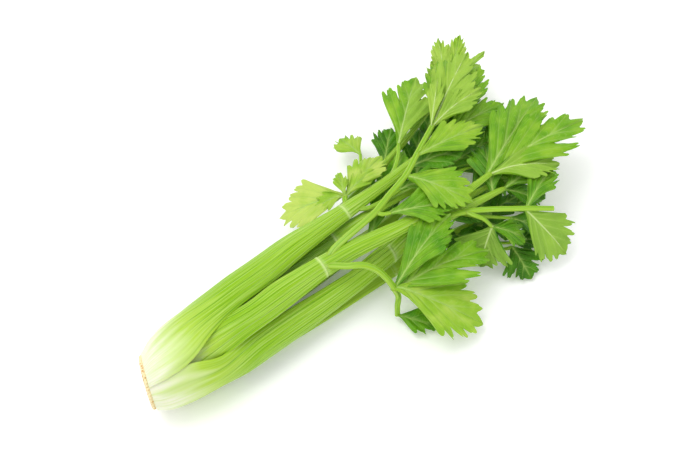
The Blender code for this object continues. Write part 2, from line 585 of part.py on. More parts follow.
def keep_outer_shell(mesh):
    """Fill what hollows the fused leaflets seal between them: only the largest shell is kept."""
    work = bmesh.new()
    work.from_mesh(mesh)
    left, shells = set(work.faces), []
    while left:
        shell, edge_of = set(), [left.pop()]
        while edge_of:
            face = edge_of.pop()
            shell.add(face)
            for edge in face.edges:
                for other in edge.link_faces:
                    if other in left:
                        left.remove(other)
                        edge_of.append(other)
        shells.append(shell)
    shells.sort(key=len)
    bmesh.ops.delete(work, geom=[f for shell in shells[:-1] for f in shell], context="FACES")
    work.to_mesh(mesh)
    work.free()


def join(target, pieces):
    """Fuse the pieces to the target with one union on a collection, and remove them."""
    cutters = bpy.data.collections.new(target.name + "_pieces")
    bpy.context.scene.collection.children.link(cutters)
    for piece in pieces:
        for owner in piece.users_collection:
            owner.objects.unlink(piece)
        cutters.objects.link(piece)
    union = target.modifiers.new("Union", "BOOLEAN")
    union.operation = "UNION"
    union.operand_type = "COLLECTION"
    union.collection = cutters
    union.solver = "MANIFOLD"
    bpy.context.view_layer.update()
    evaluated = target.evaluated_get(bpy.context.evaluated_depsgraph_get())
    mesh = bpy.data.meshes.new_from_object(evaluated)
    target.modifiers.remove(union)
    keep_outer_shell(mesh)
    target.data = mesh
    for piece in pieces:
        bpy.data.objects.remove(piece)
    bpy.data.collections.remove(cutters)


def build_crown(collection):
    bpy.ops.mesh.primitive_cylinder_add(vertices=CROWN_SIDES, radius=CROWN_RADIUS, depth=CROWN_THICKNESS)
    obj = bpy.context.object
    obj.name = "crown"
    turned = []
    for vertex in obj.data.vertices:
        across, up, along = vertex.co
        turned.append((along + CROWN_THICKNESS / 2, HEAD_AXIS[0] + across, HEAD_AXIS[1] + up))
    for vertex, at in zip(obj.data.vertices, place(lean(turned))):
        vertex.co = at
    for owner in obj.users_collection:
        owner.objects.unlink(obj)
    collection.objects.link(obj)
    bevel = obj.modifiers.new("Bevel", "BEVEL")
    bevel.width = 0.6 * MM
    bevel.segments = 1
    obj.data.materials.append(material("crown"))


def build_stalk(name, collection):
    stalk = STALKS[name][0]
    plain = name in PLAIN_STALKS
    end = stalk[-1][0] - GAP / 2
    xs = [4.3, 9, 16, 30, 50, 62, 76, 98] + list(np.linspace(128, end, 3 if plain else 4))
    outer, inner = (9, 4) if plain else (17, 6)
    sections = [lean(section(stalk, x, outer, inner, RIB_HEIGHT)) for x in xs]
    obj = loft("stalk_" + name, sections, collection)
    obj.data.materials.append(material("stalk_" + name))


def build_frond(name, layout, collection):
    stem_lift, stems, blades = layout
    rows = stem_rows(name)
    start, end = rows[0][0], rows[-1][0]
    sections = []
    for x in np.concatenate([[start + GAP / 2], np.linspace(start + 12, end, 6)]):
        ring = section(rows, x, 9, 3, 0.0 if x > start + 60 else 0.4)
        sections.append(lifted(ring, np.full(len(ring), (x - start) / (end - start)), stem_lift))
    obj = loft("frond_" + name, sections, collection)
    pieces = []
    for label, (path, table, root, tip) in stems.items():
        t = np.linspace(0, 1, max(4, len(path)))
        pieces.append(tube("stem_" + label, lifted(path_at(path, t), t, table), (root, tip), collection))
    for i, (leaf, base, table) in enumerate(blades):
        pieces.append(blade(f"leaflet_{i}", leaf, base, table, collection))
    join(obj, pieces)
    obj.data.materials.clear()
    obj.data.materials.append(material("frond_" + name))


def main():
    for obj in list(bpy.data.objects):
        bpy.data.objects.remove(obj)
    collection = bpy.data.collections.new("celery_head")
    bpy.context.scene.collection.children.link(collection)
    build_crown(collection)
    for name in STALKS:
        build_stalk(name, collection)
    plan = arrange()
    for name in STALKS:
        build_frond(name, plan[name], collection)


if __name__ == "__main__":
    main()
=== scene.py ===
"""The looks of a head of celery lying on its side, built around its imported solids.

Sizes are in millimetres in the head's own frame: x runs along the head from the cut to the
leaves, z is up from the surface it lies on, and y is to the far side. MM turns them to metres.
"""

import math
from collections import namedtuple

import bpy
import numpy as np
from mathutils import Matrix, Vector


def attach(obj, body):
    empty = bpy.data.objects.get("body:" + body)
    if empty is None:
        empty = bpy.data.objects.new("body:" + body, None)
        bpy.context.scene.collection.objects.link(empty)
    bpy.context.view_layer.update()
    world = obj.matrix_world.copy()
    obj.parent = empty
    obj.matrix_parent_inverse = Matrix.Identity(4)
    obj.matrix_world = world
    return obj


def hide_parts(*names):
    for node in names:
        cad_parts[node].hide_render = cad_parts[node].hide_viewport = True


bl_info = {
    "name": "Celery Head",
    "version": (1, 0, 0),
    "blender": (4, 5, 0),
    "location": "3D View > Sidebar > Celery",
    "description": "Dresses a head of celery with ribbed stalks, veined leaves and a dry cut root",
    "category": "Add Mesh",
}

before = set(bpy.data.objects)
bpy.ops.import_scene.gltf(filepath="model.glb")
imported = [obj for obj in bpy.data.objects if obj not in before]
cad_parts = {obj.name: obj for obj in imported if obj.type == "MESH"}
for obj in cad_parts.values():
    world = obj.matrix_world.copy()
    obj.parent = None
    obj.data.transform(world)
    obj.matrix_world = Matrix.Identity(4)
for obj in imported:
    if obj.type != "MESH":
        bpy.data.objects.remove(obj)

MM = 0.001
HEAD_SHIFT = (-221.2, -20.3, 0.0)   # from the head's own frame to the middle of its underside

CROWN_RADIUS = 21.0
CROWN_DEPTH = 4.1         # of the root plate, from its cut face to its back
CROWN_EDGE = 0.9          # radius of its rounded rim
HEAD_AXIS = (1.0, 34.0)   # y, z of the middle of the head at its base
CUT_SLANT = (0.365, -0.084)   # how far the cut leans along x, per mm of y and of z
SLANT_FADE = 62.0         # the lean has died out this far from the cut

# Radius of each layer of stalk bases, by distance from the cut.
OUTER_LAYER = {4.3: 23.0, 12.0: 28.0, 26.0: 32.0, 36.0: 33.2, 50.0: 34.0}
MIDDLE_LAYER = {4.3: 17.6, 12.0: 21.5, 26.0: 25.0, 50.0: 27.0}
INNER_LAYER = {4.3: 12.6, 12.0: 15.3, 26.0: 18.0, 50.0: 20.0}

EDGE_THICKNESS = 2.2
FLAT_DEPTH = 1.0          # how far the two lowest stalks are pressed flat
CLEARANCE = 1.7           # between the middles of blades that lie over each other
ARCH, FOLD, WAVE = 0.05, 0.10, 0.07   # of a leaflet's length, and of its half width
OWN_LIFT = 4.0            # the most that a leaflet is raised over others of its own frond
LIFT_STEPS = 10
# The share of its length from its root that a piece may touch what lies below it.
LIFT_STARTS = {"stem": 0.05, "side stem": 0.12, "blade": 0.14, "own": 0.4}
NOWHERE = -1.0e3          # lower than anything
FLOOR_LEVEL = -1.3        # sunk, so that a leaflet CLEARANCE over it is 0.4 mm off the floor
SAMPLE_STEP = 1.5         # along a stalk, for the height maps
SAMPLE_START = 132.0      # no leaflet comes nearer to the cut than this
SAMPLE_RING = (25, 9)     # points across the back and across the front of a stalk
ROOT_SUNK = 1.5           # a leaflet at the end of a stem starts this far inside it
EDGE_ROUND = 0.07         # share of a stalk's half width that its rounded edge takes
FLATTEST = 1.97           # a stalk's width over its radius is at most this
TOOTH = 0.12              # from one small tooth of a leaflet's edge to the next, of its length
TOOTH_POINTS = 6

# Points across a stalk's back, along its base and along the rest of it; across and along a stem.
SEEN = ((92, 44, 50), (44, 60))
HIDDEN = ((44, 26, 26), (26, 36))

# The camera looks at AIM, a point of the head's own frame, from the photograph's side.
AIM = (229.65, 39.35, 0.0)
AZIMUTH = math.radians(-36.8)
ELEVATION = math.radians(55.0)
DISTANCE = 1197.8         # of the camera from AIM
SENSOR = 36.0             # width of the camera's film
WINDOW_PLACE = (-400, 320, 1420)   # from the middle of the head's underside
WINDOW_WIDTH = 900        # across the round window of light


def layer(radii, rows):
    """Stalk bases wrapped round the head's axis: rows of a stalk's table.

    Each row given: distance along, which way the back faces, half the angle that the base
    spans, and its depth."""
    table = []
    for x, turn, half, depth in rows:
        radius = float(np.interp(x, list(radii), list(radii.values())))
        table.append((x, HEAD_AXIS[0] + radius * math.sin(math.radians(turn)),
                      HEAD_AXIS[1] + radius * math.cos(math.radians(turn)),
                      turn, 2 * radius * math.sin(math.radians(half)), radius, depth))
    return table


# Each row: distance along the head, y and z of the middle of the stalk's back, which way the
# back faces (degrees from up, towards the far side), width, radius of the back, depth.
STALKS = {
    "under_far": (layer(OUTER_LAYER, [
        (4.3, 147, 56, 4.6), (12, 146, 55, 4.8), (26, 144, 53, 5.3), (50, 140, 50, 6.0)]) + [
        (70, 22, 2, 160, 37, 24, 8), (95, 19.5, -FLAT_DEPTH, 176, 28, 18, 11.5),
        (150, 20, -FLAT_DEPTH, 178, 26, 16, 11.5), (215, 22, -FLAT_DEPTH, 180, 18, 10.5, 9.5)],
        [(250, 25, 1, 180, 12, 6.6, 8.0), (310, 36, 2, 180, 8, 4.4, 6.0),
         (365, 50, 3, 180, 5, 2.8, 4.4)]),
    "under_near": (layer(MIDDLE_LAYER, [
        (4.3, -147, 55, 4.0), (12, -148, 54, 4.3), (26, -149, 52, 4.7), (50, -150, 48, 5.5)]) + [
        (70, -13, 3.5, -165, 22, 18, 8), (95, -11, -FLAT_DEPTH, -174, 25, 17, 11),
        (150, -12, -FLAT_DEPTH, -178, 24, 15, 11), (235, -14, -FLAT_DEPTH, -180, 16, 10, 9.5)],
        [(270, -15, 1, -180, 10, 5.6, 7.0), (310, -18, 2, -180, 7.4, 4.2, 5.6),
         (345, -24, 3, -180, 5, 2.8, 4.4)]),
    "side": (layer(MIDDLE_LAYER, [
        (4.3, 93, 55, 4.0), (12, 92, 54, 4.3), (26, 91, 53, 4.7), (50, 90, 50, 5.5)]) + [
        (95, 38, 30, 92, 26, 16, 10), (150, 44, 30, 92, 24, 14, 10), (225, 50, 31, 92, 17, 10, 8.5)],
        [(265, 61, 31, 80, 11, 6.0, 7.6), (320, 78, 31, 60, 8, 4.4, 6.0),
         (392, 104, 31, 30, 4.6, 2.6, 4.2)]),
    "heart": ([(4.3, 1, 42.2, 0, 15.8, 8.2, 14.4), (26, 1, 44.5, 0, 20.2, 10.5, 18.2),
               (50, 1, 46.5, 0, 24, 12.5, 21.5), (95, 6, 42, 0, 23, 12, 20.5),
               (150, 6, 38, 0, 19.2, 10, 17), (180, 6, 34, 0, 15.2, 8, 13.6)],
              [(215, 7, 31, 0, 9.6, 5.2, 8.4), (255, 8, 28, 0, 6.6, 3.6, 6.0),
               (288, 9, 26, 0, 4.6, 2.6, 4.2)]),
    "inner_near": (layer(INNER_LAYER, [
        (4.3, -140, 76, 3.6), (12, -139, 73, 3.8), (26, -136, 67, 4.2), (50, -132, 58, 5.0)]) + [
        (95, -18, 27, -95, 23, 14, 9), (150, -17, 25, -95, 20, 12, 9), (190, -15, 23, -95, 15, 9, 8.5)],
        [(235, -11.5, 25, -90, 10, 5.6, 7.6), (295, -12, 26, -70, 7, 4.0, 5.8),
         (345, -12, 24, -40, 4.6, 2.6, 4.2)]),
    "inner_far": (layer(INNER_LAYER, [
        (4.3, 40, 76, 3.6), (12, 40, 73, 3.8), (26, 39, 67, 4.2), (50, 38, 58, 5.0)]) + [
        (95, 16, 52, 18, 24, 15, 9), (150, 20.5, 47.5, 15, 21, 13, 9.5), (200, 24, 42, 10, 17, 10, 9)],
        [(245, 22, 40, 10, 10, 5.6, 7.6), (305, 20, 37, 10, 7, 4.0, 5.8),
         (360, 22, 34, 0, 4.6, 2.6, 4.2)]),
    "near": (layer(OUTER_LAYER, [
        (4.3, -93.5, 55, 4.6), (12, -93.5, 55, 4.8), (26, -93.5, 55, 5.2), (36, -95, 53.5, 5.6),
        (50, -99, 46, 6.0)]) + [
        (70, -32.5, 31, -80, 36, 24, 8), (90, -31, 35, -62, 30, 18, 10),
        (124, -28.5, 33.5, -60, 29, 17.5, 10),
        (160, -26, 32.5, -58, 25, 15, 10), (200, -23, 33, -55, 20, 12, 9), (233, -20, 35, -52, 17, 10, 8.5)],
        [(262, -23, 38, -40, 11.5, 6.2, 8.4), (305, -26.5, 39, -25, 8.2, 4.6, 6.6),
         (345, -30, 38.5, -10, 4.8, 2.7, 4.3)]),
    "far": (layer(OUTER_LAYER, [
        (4.3, 26.5, 60.5, 4.6), (12, 26.5, 60.5, 4.8), (26, 26.5, 60.5, 5.2), (36, 27, 58.5, 5.6),
        (50, 28, 50, 6.0)]) + [
        (74, 16.5, 66.5, 12, 34.5, 21.5, 8.5), (98, 18.3, 67, 3, 30, 18, 10.5),
        (128, 21.5, 65, 3, 30, 17.5, 11), (158, 26.5, 62, 3, 27, 16, 11),
        (190, 30, 58, 5, 22, 13, 10), (219, 33, 54.5, 8, 18, 10.5, 9)],
        [(250, 34.5, 53.5, 5, 13, 7.2, 9.0), (300, 40, 50.5, 0, 9.6, 5.2, 7.4),
         (357, 53.5, 45, 0, 4.8, 2.7, 4.3)]),
    "middle": (layer(MIDDLE_LAYER, [
        (4.3, -25, 55, 4.0), (12, -25, 54, 4.3), (26, -26, 53, 4.7)]) + [
        (98, -11.5, 61, -17, 24, 16, 9.5), (121, -10, 61.5, -24, 25, 16, 10),
        (150, -8, 60.5, -25, 21.5, 13, 10), (169, -6.7, 59.5, -25, 19, 11, 9.5)],
        [(198, -10, 62, -22, 16.5, 9.4, 9.8), (227, -14, 61, -20, 14.5, 8.0, 9.4),
         (262, -17, 58.5, -15, 11.5, 6.4, 8.4), (295, -18, 56, -10, 8.6, 4.8, 7.0),
         (344, -14, 54, 0, 4.8, 2.7, 4.3)]),
}
PLAIN_STALKS = ("under_far", "under_near", "side", "heart", "inner_near", "inner_far")

# Side stems by frond: a name, the points it runs through, radius at its root and at its end.
SIDE_STEMS = {
    "middle": [
        ("left", [(171, -2, 55), (184, 0, 61), (205, 2, 66), (227, 5, 67.5), (252, 14, 66), (275, 22, 65),
            (299, 36, 63), (332, 55, 60)], 3.1, 2.4),
        ("right", [(171, -13, 54), (182, -19, 60), (192, -26, 61), (200, -33, 57), (207, -41, 46),
            (211, -48, 34)], 2.8, 2.8),
        ("drop", [(211, -47, 35), (212, -51, 26), (210, -53, 15), (208, -56, 6)], 2.7, 2.2),
        ("left_low", [(227, 5, 67), (234, 1, 67), (241, -2, 66.5)], 1.9, 1.6),
    ],
    "far": [
        ("left", [(224, 36, 49), (226, 42, 49), (230, 46, 47)], 2.6, 2.0),
        ("right", [(222, 28, 50), (240, 22.5, 50), (256, 21.5, 50), (270, 22, 50)], 2.2, 1.6),
        ("upright", [(266, 36, 48), (280, 43, 47), (293, 54, 45), (303, 66, 43)], 2.2, 1.6),
    ],
    "near": [
        ("rising", [(238, -19, 33), (252, -19, 40), (270, -21, 45), (290, -28, 50), (312, -41, 52.5),
            (336, -57, 52), (360, -73, 50)], 2.8, 2.2),
        ("rising_drop", [(292, -29, 49.5), (300, -38, 50), (306, -45, 47), (311, -52, 39)], 2.0, 1.6),
        ("low", [(236, -25, 28), (252, -31, 20), (272, -40, 12), (302, -54, 8), (327, -64, 7)], 2.4, 1.6),
    ],
    "side": [
        ("left", [(258, 60, 27), (268, 74, 27), (276, 86, 26)], 1.9, 1.4),
    ],
    "inner_far": [
        ("left", [(300, 21, 37), (325, 34, 37), (345, 48, 36)], 1.8, 1.4),
        ("right", [(300, 20, 37), (330, 12, 37), (356, 6, 37)], 1.8, 1.4),
    ],
    "inner_near": [
        ("right", [(290, -13, 23), (315, -30, 20), (338, -46, 16)], 1.8, 1.4),
    ],
    "under_far": [
        ("left", [(300, 34, 5), (322, 58, 5), (345, 78, 4)], 1.9, 1.4),
    ],
    "under_near": [
        ("right", [(290, -17, 5), (312, -38, 4), (334, -54, 3.5)], 1.8, 1.4),
    ],
}
# Side stems that fork from another side stem, and how far along it.
FORKS = {"drop": ("right", 0.98), "rising_drop": ("rising", 0.47), "left_low": ("left", 0.36)}

# Half outlines of a leaflet: the rows that the lateral veins run to, and the outline itself.
# Each row: how far along it, how far out, and where along the midrib the vein to that point
# leaves it, all as fractions of its length and half width.
OUTLINES = {
    "broad": ((3, 5, 7, 9), [
        (0.00, 0.04, 0.00), (0.17, 0.25, 0.02), (0.44, 0.80, 0.06), (0.54, 1.00, 0.10),
        (0.57, 0.82, 0.14), (0.71, 0.92, 0.19), (0.66, 0.62, 0.25), (0.83, 0.70, 0.33),
        (0.79, 0.44, 0.44), (0.93, 0.42, 0.57), (0.89, 0.26, 0.70), (1.00, 0.00, 1.00)]),
    "lobed": ((3, 5, 8, 10), [
        (0.00, 0.04, 0.00), (0.16, 0.24, 0.02), (0.43, 0.80, 0.06), (0.54, 1.00, 0.09),
        (0.57, 0.83, 0.12), (0.71, 0.88, 0.16), (0.65, 0.60, 0.20), (0.55, 0.33, 0.28),
        (0.76, 0.58, 0.38), (0.75, 0.42, 0.48), (0.91, 0.42, 0.60), (0.88, 0.25, 0.73),
        (1.00, 0.00, 1.00)]),
    "plain": ((2, 4, 6), [
        (0.00, 0.04, 0.00), (0.18, 0.26, 0.03), (0.53, 1.00, 0.10), (0.55, 0.76, 0.20),
        (0.75, 0.78, 0.33), (0.70, 0.48, 0.47), (0.90, 0.40, 0.65), (1.00, 0.00, 1.00)]),
}
# Leaflets by frond, from the lowest frond up: the stem a leaflet grows from ("stem" is the main
# one), how far along that, the tip, the width, the outline, its shade from dark (0) to palest lime
# (1.04), how far it is rolled about its midrib in degrees, and how much of its underside is up:
# none (0), the half that is folded over (0.5) or all (1).
Leaflet = namedtuple("Leaflet", "stem share tip width outline shade roll under", defaults=(0, 0))
LEAFLETS = {frond: [Leaflet(*row) for row in rows] for frond, rows in {
    # The two lowest fronds lie under the head: their dark shades stand partly for their own deeper green and
    # partly for painted shade.
    "under_far": [
        ("stem", 1.0, (425, 76, 5), 38, "plain", 0.2),
        ("left", 1.0, (384, 112, 4), 36, "plain", 0.15),
        ("stem", 0.8, (388, 22, 5), 32, "plain", 0.15),
        ("stem", 0.35, (308, 80, 4), 34, "plain", 0.15),
        ("stem", 0.55, (348, 90, 4), 36, "plain", 0.15),
    ],
    "under_near": [
        ("stem", 1.0, (394, -33, 4), 30, "plain", 0.2),
        ("right", 1.0, (362, -69, 3), 28, "plain", 0.18),
        ("stem", 0.8, (366, 8, 5), 34, "plain", 0.2),
        ("stem", 0.6, (307, -38, 3), 36, "plain", 0.2),
        ("stem", 0.42, (300, -22, 3), 34, "plain", 0.16),
        ("stem", 0.72, (340, -39, 3), 34, "plain", 0.16),
        ("stem", 0.9, (368, -22, 4), 30, "plain", 0.14),
        ("stem", 0.84, (336, -53, 3), 26, "plain", 0.14),
    ],
    "side": [
        ("stem", 1.0, (440, 146, 28), 19, "broad", 0.8),
        ("stem", 0.96, (418, 152, 30), 20, "broad", 0.88, 0, 1),
        ("stem", 0.88, (398, 133, 28), 20, "plain", 0.75, 0, 1),
        ("stem", 0.9, (442, 112, 33), 15, "plain", 0.6, 0, 1),
        ("stem", 0.36, (318, 96, 26), 30, "broad", 0.25),
        ("left", 1.0, (278, 120, 16), 28, "broad", 0.82),
        ("stem", 0.62, (362, 118, 24), 32, "plain", 0.3),
    ],
    "heart": [
        ("stem", 1.0, (334, 12, 22), 32, "plain", 0.75),
        ("stem", 0.75, (302, -8, 22), 20, "plain", 0.7),
        ("stem", 0.4, (308, 63, 24), 30, "plain", 0.4),
        ("stem", 0.9, (323, -11, 22), 28, "plain", 0.4),
    ],
    "inner_near": [
        ("stem", 1.0, (404, -21, 24), 34, "plain", 0.25),
        ("stem", 0.85, (382, 16, 24), 26, "plain", 0.3),
        ("right", 1.0, (363, -67, 10), 28, "plain", 0.22),
        ("stem", 0.6, (331, -31, 20), 26, "plain", 0.22),
        ("stem", 0.35, (298, -17, 18), 22, "plain", 0.22),
    ],
    "inner_far": [
        ("stem", 1.0, (430, 32, 36), 42, "broad", 0.4),
        ("left", 1.0, (400, 84, 34), 40, "broad", 0.45),
        ("right", 1.0, (414, -8, 34), 38, "broad", 0.5),
        ("right", 0.9, (356, -36, 36), 32, "broad", 0.45),
        ("stem", 0.7, (378, 23, 34), 32, "plain", 0.35),
    ],
    "near": [
        ("stem", 0.97, (371, -49, 26), 24, "broad", 0.3),
        ("low", 1.0, (324, -94, 3), 42, "lobed", 0.2),
        ("rising_drop", 1.0, (295, -59, 7), 52, "lobed", 0.28, 0, 1),
        ("rising_drop", 0.97, (335, -71, 28), 28, "broad", 0.4),
        ("stem", 1.0, (400, -31, 32), 40, "broad", 0.45),
        ("stem", 0.88, (362, 20, 34), 38, "broad", 0.38),
        ("rising", 0.82, (361, -96, 12), 46, "broad", 0.5, 25, 1),
        ("rising", 0.83, (390, -38, 46), 26, "broad", 0.45),
    ],
    "far": [
        ("stem", 0.5, (338, 20, 45), 34, "plain", 0.35),
        ("stem", 0.86, (404, 124, 34), 38, "broad", 0.64),
        ("stem", 0.84, (409, 47, 40), 34, "broad", 0.55),
        ("stem", 1.0, (422, 97, 38), 34, "lobed", 0.6),
        ("right", 1.0, (318, 2, 47), 30, "broad", 0.4),
        ("upright", 1.0, (366, 121, 36), 48, "lobed", 0.62, 0, 0.5),
        ("left", 1.0, (179, 73, 21), 54, "broad", 1.04, 10),
        ("left", 0.95, (284, 65, 42), 36, "broad", 0.92, -20),
        ("left", 0.9, (201, 55, 31), 20, "plain", 0.86),
        ("left", 0.88, (266, 53, 45), 20, "plain", 0.8),
        ("left", 0.86, (239, 70, 44), 14, "plain", 0.8),
    ],
    "middle": [
        ("drop", 1.0, (230, -84, 3), 26, "plain", 0.42),
        ("right", 1.0, (300, -63, 7), 54, "lobed", 0.56),
        ("right", 0.98, (285, -28, 30), 36, "broad", 0.48),
        ("right", 0.97, (259, -107, 6), 60, "broad", 0.8),
        ("stem", 0.97, (397, -40, 40), 34, "broad", 0.55, 0, 1),
        ("stem", 0.94, (437, 34, 44), 50, "broad", 0.54),
        ("stem", 1.0, (450, -13, 44), 54, "lobed", 0.58),
        ("left_low", 1.0, (292, -22, 60), 36, "broad", 0.5),
        ("left", 0.63, (306, -31, 58), 44, "broad", 0.66),
        ("left", 0.77, (368, 29, 58), 36, "broad", 0.7),
        ("left", 1.0, (417, 109, 52), 40, "lobed", 0.72, 0, 1),
        ("left", 0.98, (394, 63, 55), 26, "broad", 0.7, 0, 1),
        ("left", 0.97, (374, 99, 56), 15, "plain", 0.75, 0, 1),
    ],
}.items()}

HEARTWOOD = ("heart", "inner_near", "inner_far")   # the stalks inside the outer ones

LAPS = {"far": (0.07, -1.0), "near": (-0.08, 1.0)}   # over (+) or under (-) the other, and the edge


def flow(rows, x):
    """Values at x of a table whose first column is x: smooth, without overshoot."""
    rows = np.array(rows, float)
    xs, values = rows[:, 0], rows[:, 1:]
    steps = np.diff(xs)[:, None]
    slopes = np.diff(values, axis=0) / steps
    tangents = np.zeros_like(values)
    tangents[0], tangents[-1] = slopes[0], slopes[-1]
    before, after = 2 * steps[1:] + steps[:-1], steps[1:] + 2 * steps[:-1]
    same = slopes[:-1] * slopes[1:] > 0
    safe_a = np.where(same, slopes[:-1], 1.0)
    safe_b = np.where(same, slopes[1:], 1.0)
    tangents[1:-1] = np.where(same, (before + after) / (before / safe_a + after / safe_b), 0.0)
    x = np.atleast_1d(np.asarray(x, float))
    i = np.clip(np.searchsorted(xs, x, side="right") - 1, 0, len(xs) - 2)
    h = steps[i]
    t = np.clip((x - xs[i])[:, None] / h, 0.0, 1.0)
    return ((2 * t**3 - 3 * t**2 + 1) * values[i] + (t**3 - 2 * t**2 + t) * h * tangents[i]
            + (3 * t**2 - 2 * t**3) * values[i + 1] + (t**3 - t**2) * h * tangents[i + 1])


def section(rows, x):
    """Points round a stalk at x: a back on an arc, and a hollowed front behind it."""
    outer, inner = SAMPLE_RING
    y, z, turn, width, radius, depth = flow(rows, x)[0]
    turn = math.radians(turn)
    back = np.array([math.sin(turn), math.cos(turn)])
    across = np.array([math.cos(turn), -math.sin(turn)])
    radius = max(radius, width / FLATTEST)
    half = math.asin(width / 2 / radius)

    def arc(angles, inset):
        out = np.outer(np.cos(angles), back) + np.outer(np.sin(angles), across)
        return np.array([y, z]) - radius * back + (radius - inset)[:, None] * out

    angles = np.linspace(-half, half, outer)
    round_back = arc(angles, np.zeros(outer))
    angles = np.linspace(half, -half, inner)
    edge = min(EDGE_THICKNESS, 0.3 * depth)
    inset = edge + (depth - edge) * (1 - (angles / half) ** 2)
    hollow = arc(angles, 0.35 * inset) - 0.65 * inset[:, None] * back
    points = np.vstack([round_back, hollow])
    points[:, 1] = np.maximum(points[:, 1], 0.0)
    return np.column_stack([np.full(len(points), x), points])


def lean(points):
    """The cut is not square to the head: shear the base along x, fading out up the head."""
    points = np.array(points, float)
    fade = np.clip(1 - points[:, 0] / SLANT_FADE, 0, 1)
    fade = fade * fade * (3 - 2 * fade)
    across = points[:, 1:] - HEAD_AXIS
    points[:, 0] += across @ CUT_SLANT * fade
    return points


class HeightMap:
    """The top of what lies at each place, on a grid, to bend stems and leaflets clear of it."""
    STEP, X0, Y0, NX, NY = 2.0, 130.0, -140.0, 180, 170   # a cell, the corner, cells along and across

    def __init__(self, level=NOWHERE):
        self.top = np.full((self.NX, self.NY), level)

    def cells(self, points):
        i = np.clip(((points[:, 0] - self.X0) / self.STEP).astype(int), 1, self.NX - 2)
        j = np.clip(((points[:, 1] - self.Y0) / self.STEP).astype(int), 1, self.NY - 2)
        return i, j

    def add(self, points):
        i, j = self.cells(points)
        np.maximum.at(self.top, (i, j), points[:, 2])

    def under(self, points):
        i, j = self.cells(points)
        found = self.top[i, j]
        for di in (-1, 0, 1):
            for dj in (-1, 0, 1):
                found = np.maximum(found, self.top[i + di, j + dj])
        return found


def lift_table(points, along, heights, start, margin):
    """How much to raise a piece, by how far along it, to clear what lies below it.

    The raise grows from nothing at the root to what each obstacle needs, and stays. What lies
    within the share `start` of the root is passed over."""
    need = np.full(len(points), NOWHERE)
    for level in heights:
        need = np.maximum(need, level.under(points) + margin - points[:, 2])
    knots = np.linspace(0, 1, LIFT_STEPS + 1)
    wanted = np.zeros(LIFT_STEPS + 1)
    for k in range(1, LIFT_STEPS + 1):
        near = (np.abs(along - knots[k]) <= 0.75 / LIFT_STEPS) & (along > start)
        if near.any():
            wanted[k] = max(0.0, need[near].max())
    lift = np.zeros(LIFT_STEPS + 1)
    for k in range(1, LIFT_STEPS + 1):
        reach = np.minimum(1.0, knots[k] / knots[1:])
        lift[k] = (wanted[1:] * np.sin(reach * math.pi / 2)).max()
    return np.column_stack([knots, lift])


def lifted(points, along, table):
    """The points, raised as the table says for how far along the piece they lie."""
    points = np.array(points, float)
    points[:, 2] += flow(table, along)[:, 0]
    return points


def leaflet_points(leaf, base, x, out, side):
    """Points of a leaflet at fractions x along it and out across it: arched and waved."""
    reach = np.array(leaf.tip, float) - base
    length = np.linalg.norm(reach)
    ahead = reach / length
    level = np.cross([0, 0, 1.0], ahead)
    level /= np.linalg.norm(level)
    up = np.cross(ahead, level)
    roll = math.radians(leaf.roll)
    across = math.cos(roll) * level + math.sin(roll) * up
    normal = np.cross(ahead, across)
    half = leaf.width / 2
    phase = 0.37 * leaf.tip[0] + 0.61 * leaf.tip[1]
    height = (ARCH * length * np.sin(math.pi * x) + FOLD * half * out
              + WAVE * half * out ** 2 * np.sin(9.0 * x + side * 1.3 + phase))
    return (base + np.outer(x, reach) + np.outer(side * out * half, across)
            + np.outer(height, normal)), normal


def leaflet_grid(leaf, base, rows, columns):
    """A fixed net of points on a leaflet, with how far along it each lies."""
    outline = np.array(OUTLINES[leaf.outline][1])
    steps = np.linspace(0, len(outline) - 1, rows * (len(outline) - 1) + 1)
    edge = np.column_stack([np.interp(steps, np.arange(len(outline)), outline[:, c]) for c in range(3)])
    points, along = [], []
    for side in (1, -1):
        for v in np.linspace(0, 1, columns):
            x = edge[:, 2] + v * (edge[:, 0] - edge[:, 2])
            points.append(leaflet_points(leaf, base, x, v * edge[:, 1], side)[0])
            along.append(x)
    return np.vstack(points), np.concatenate(along)


def stem_rows(name):
    """A frond's main stem, from the joint at the end of its stalk."""
    stalk, stem = STALKS[name]
    return [stalk[-1]] + stem


def stem_middle(rows, x, table):
    """The middle of a frond's main stem at x, raised as the stem is."""
    y, z, turn, width, radius, depth = flow(rows, x)[0]
    turn = math.radians(turn)
    along = (x - rows[0][0]) / (rows[-1][0] - rows[0][0])
    return np.array([x, y - depth / 2 * math.sin(turn),
                     z - depth / 2 * math.cos(turn) + flow(table, along)[0, 0]])


def tube_grid(path, radii):
    """Points round a side stem, with how far along it each lies."""
    steps = np.linspace(0, 1, 40)
    centre = path_at(path, steps)
    radius = radii[0] + (radii[1] - radii[0]) * steps
    points, along = [], []
    for angle in np.linspace(0, 2 * math.pi, 8, endpoint=False):
        side = np.zeros_like(centre)
        side[:, 1] = np.cos(angle) * radius
        side[:, 2] = np.sin(angle) * radius
        points.append(centre + side)
        along.append(steps)
    return np.vstack(points), np.concatenate(along)


def path_at(path, t):
    """Points at fractions t of the way along a smooth path through the given points."""
    path = np.array(path, float)
    run = np.concatenate([[0], np.cumsum(np.linalg.norm(np.diff(path, axis=0), axis=1))])
    return flow(np.column_stack([run / run[-1], path]), t)


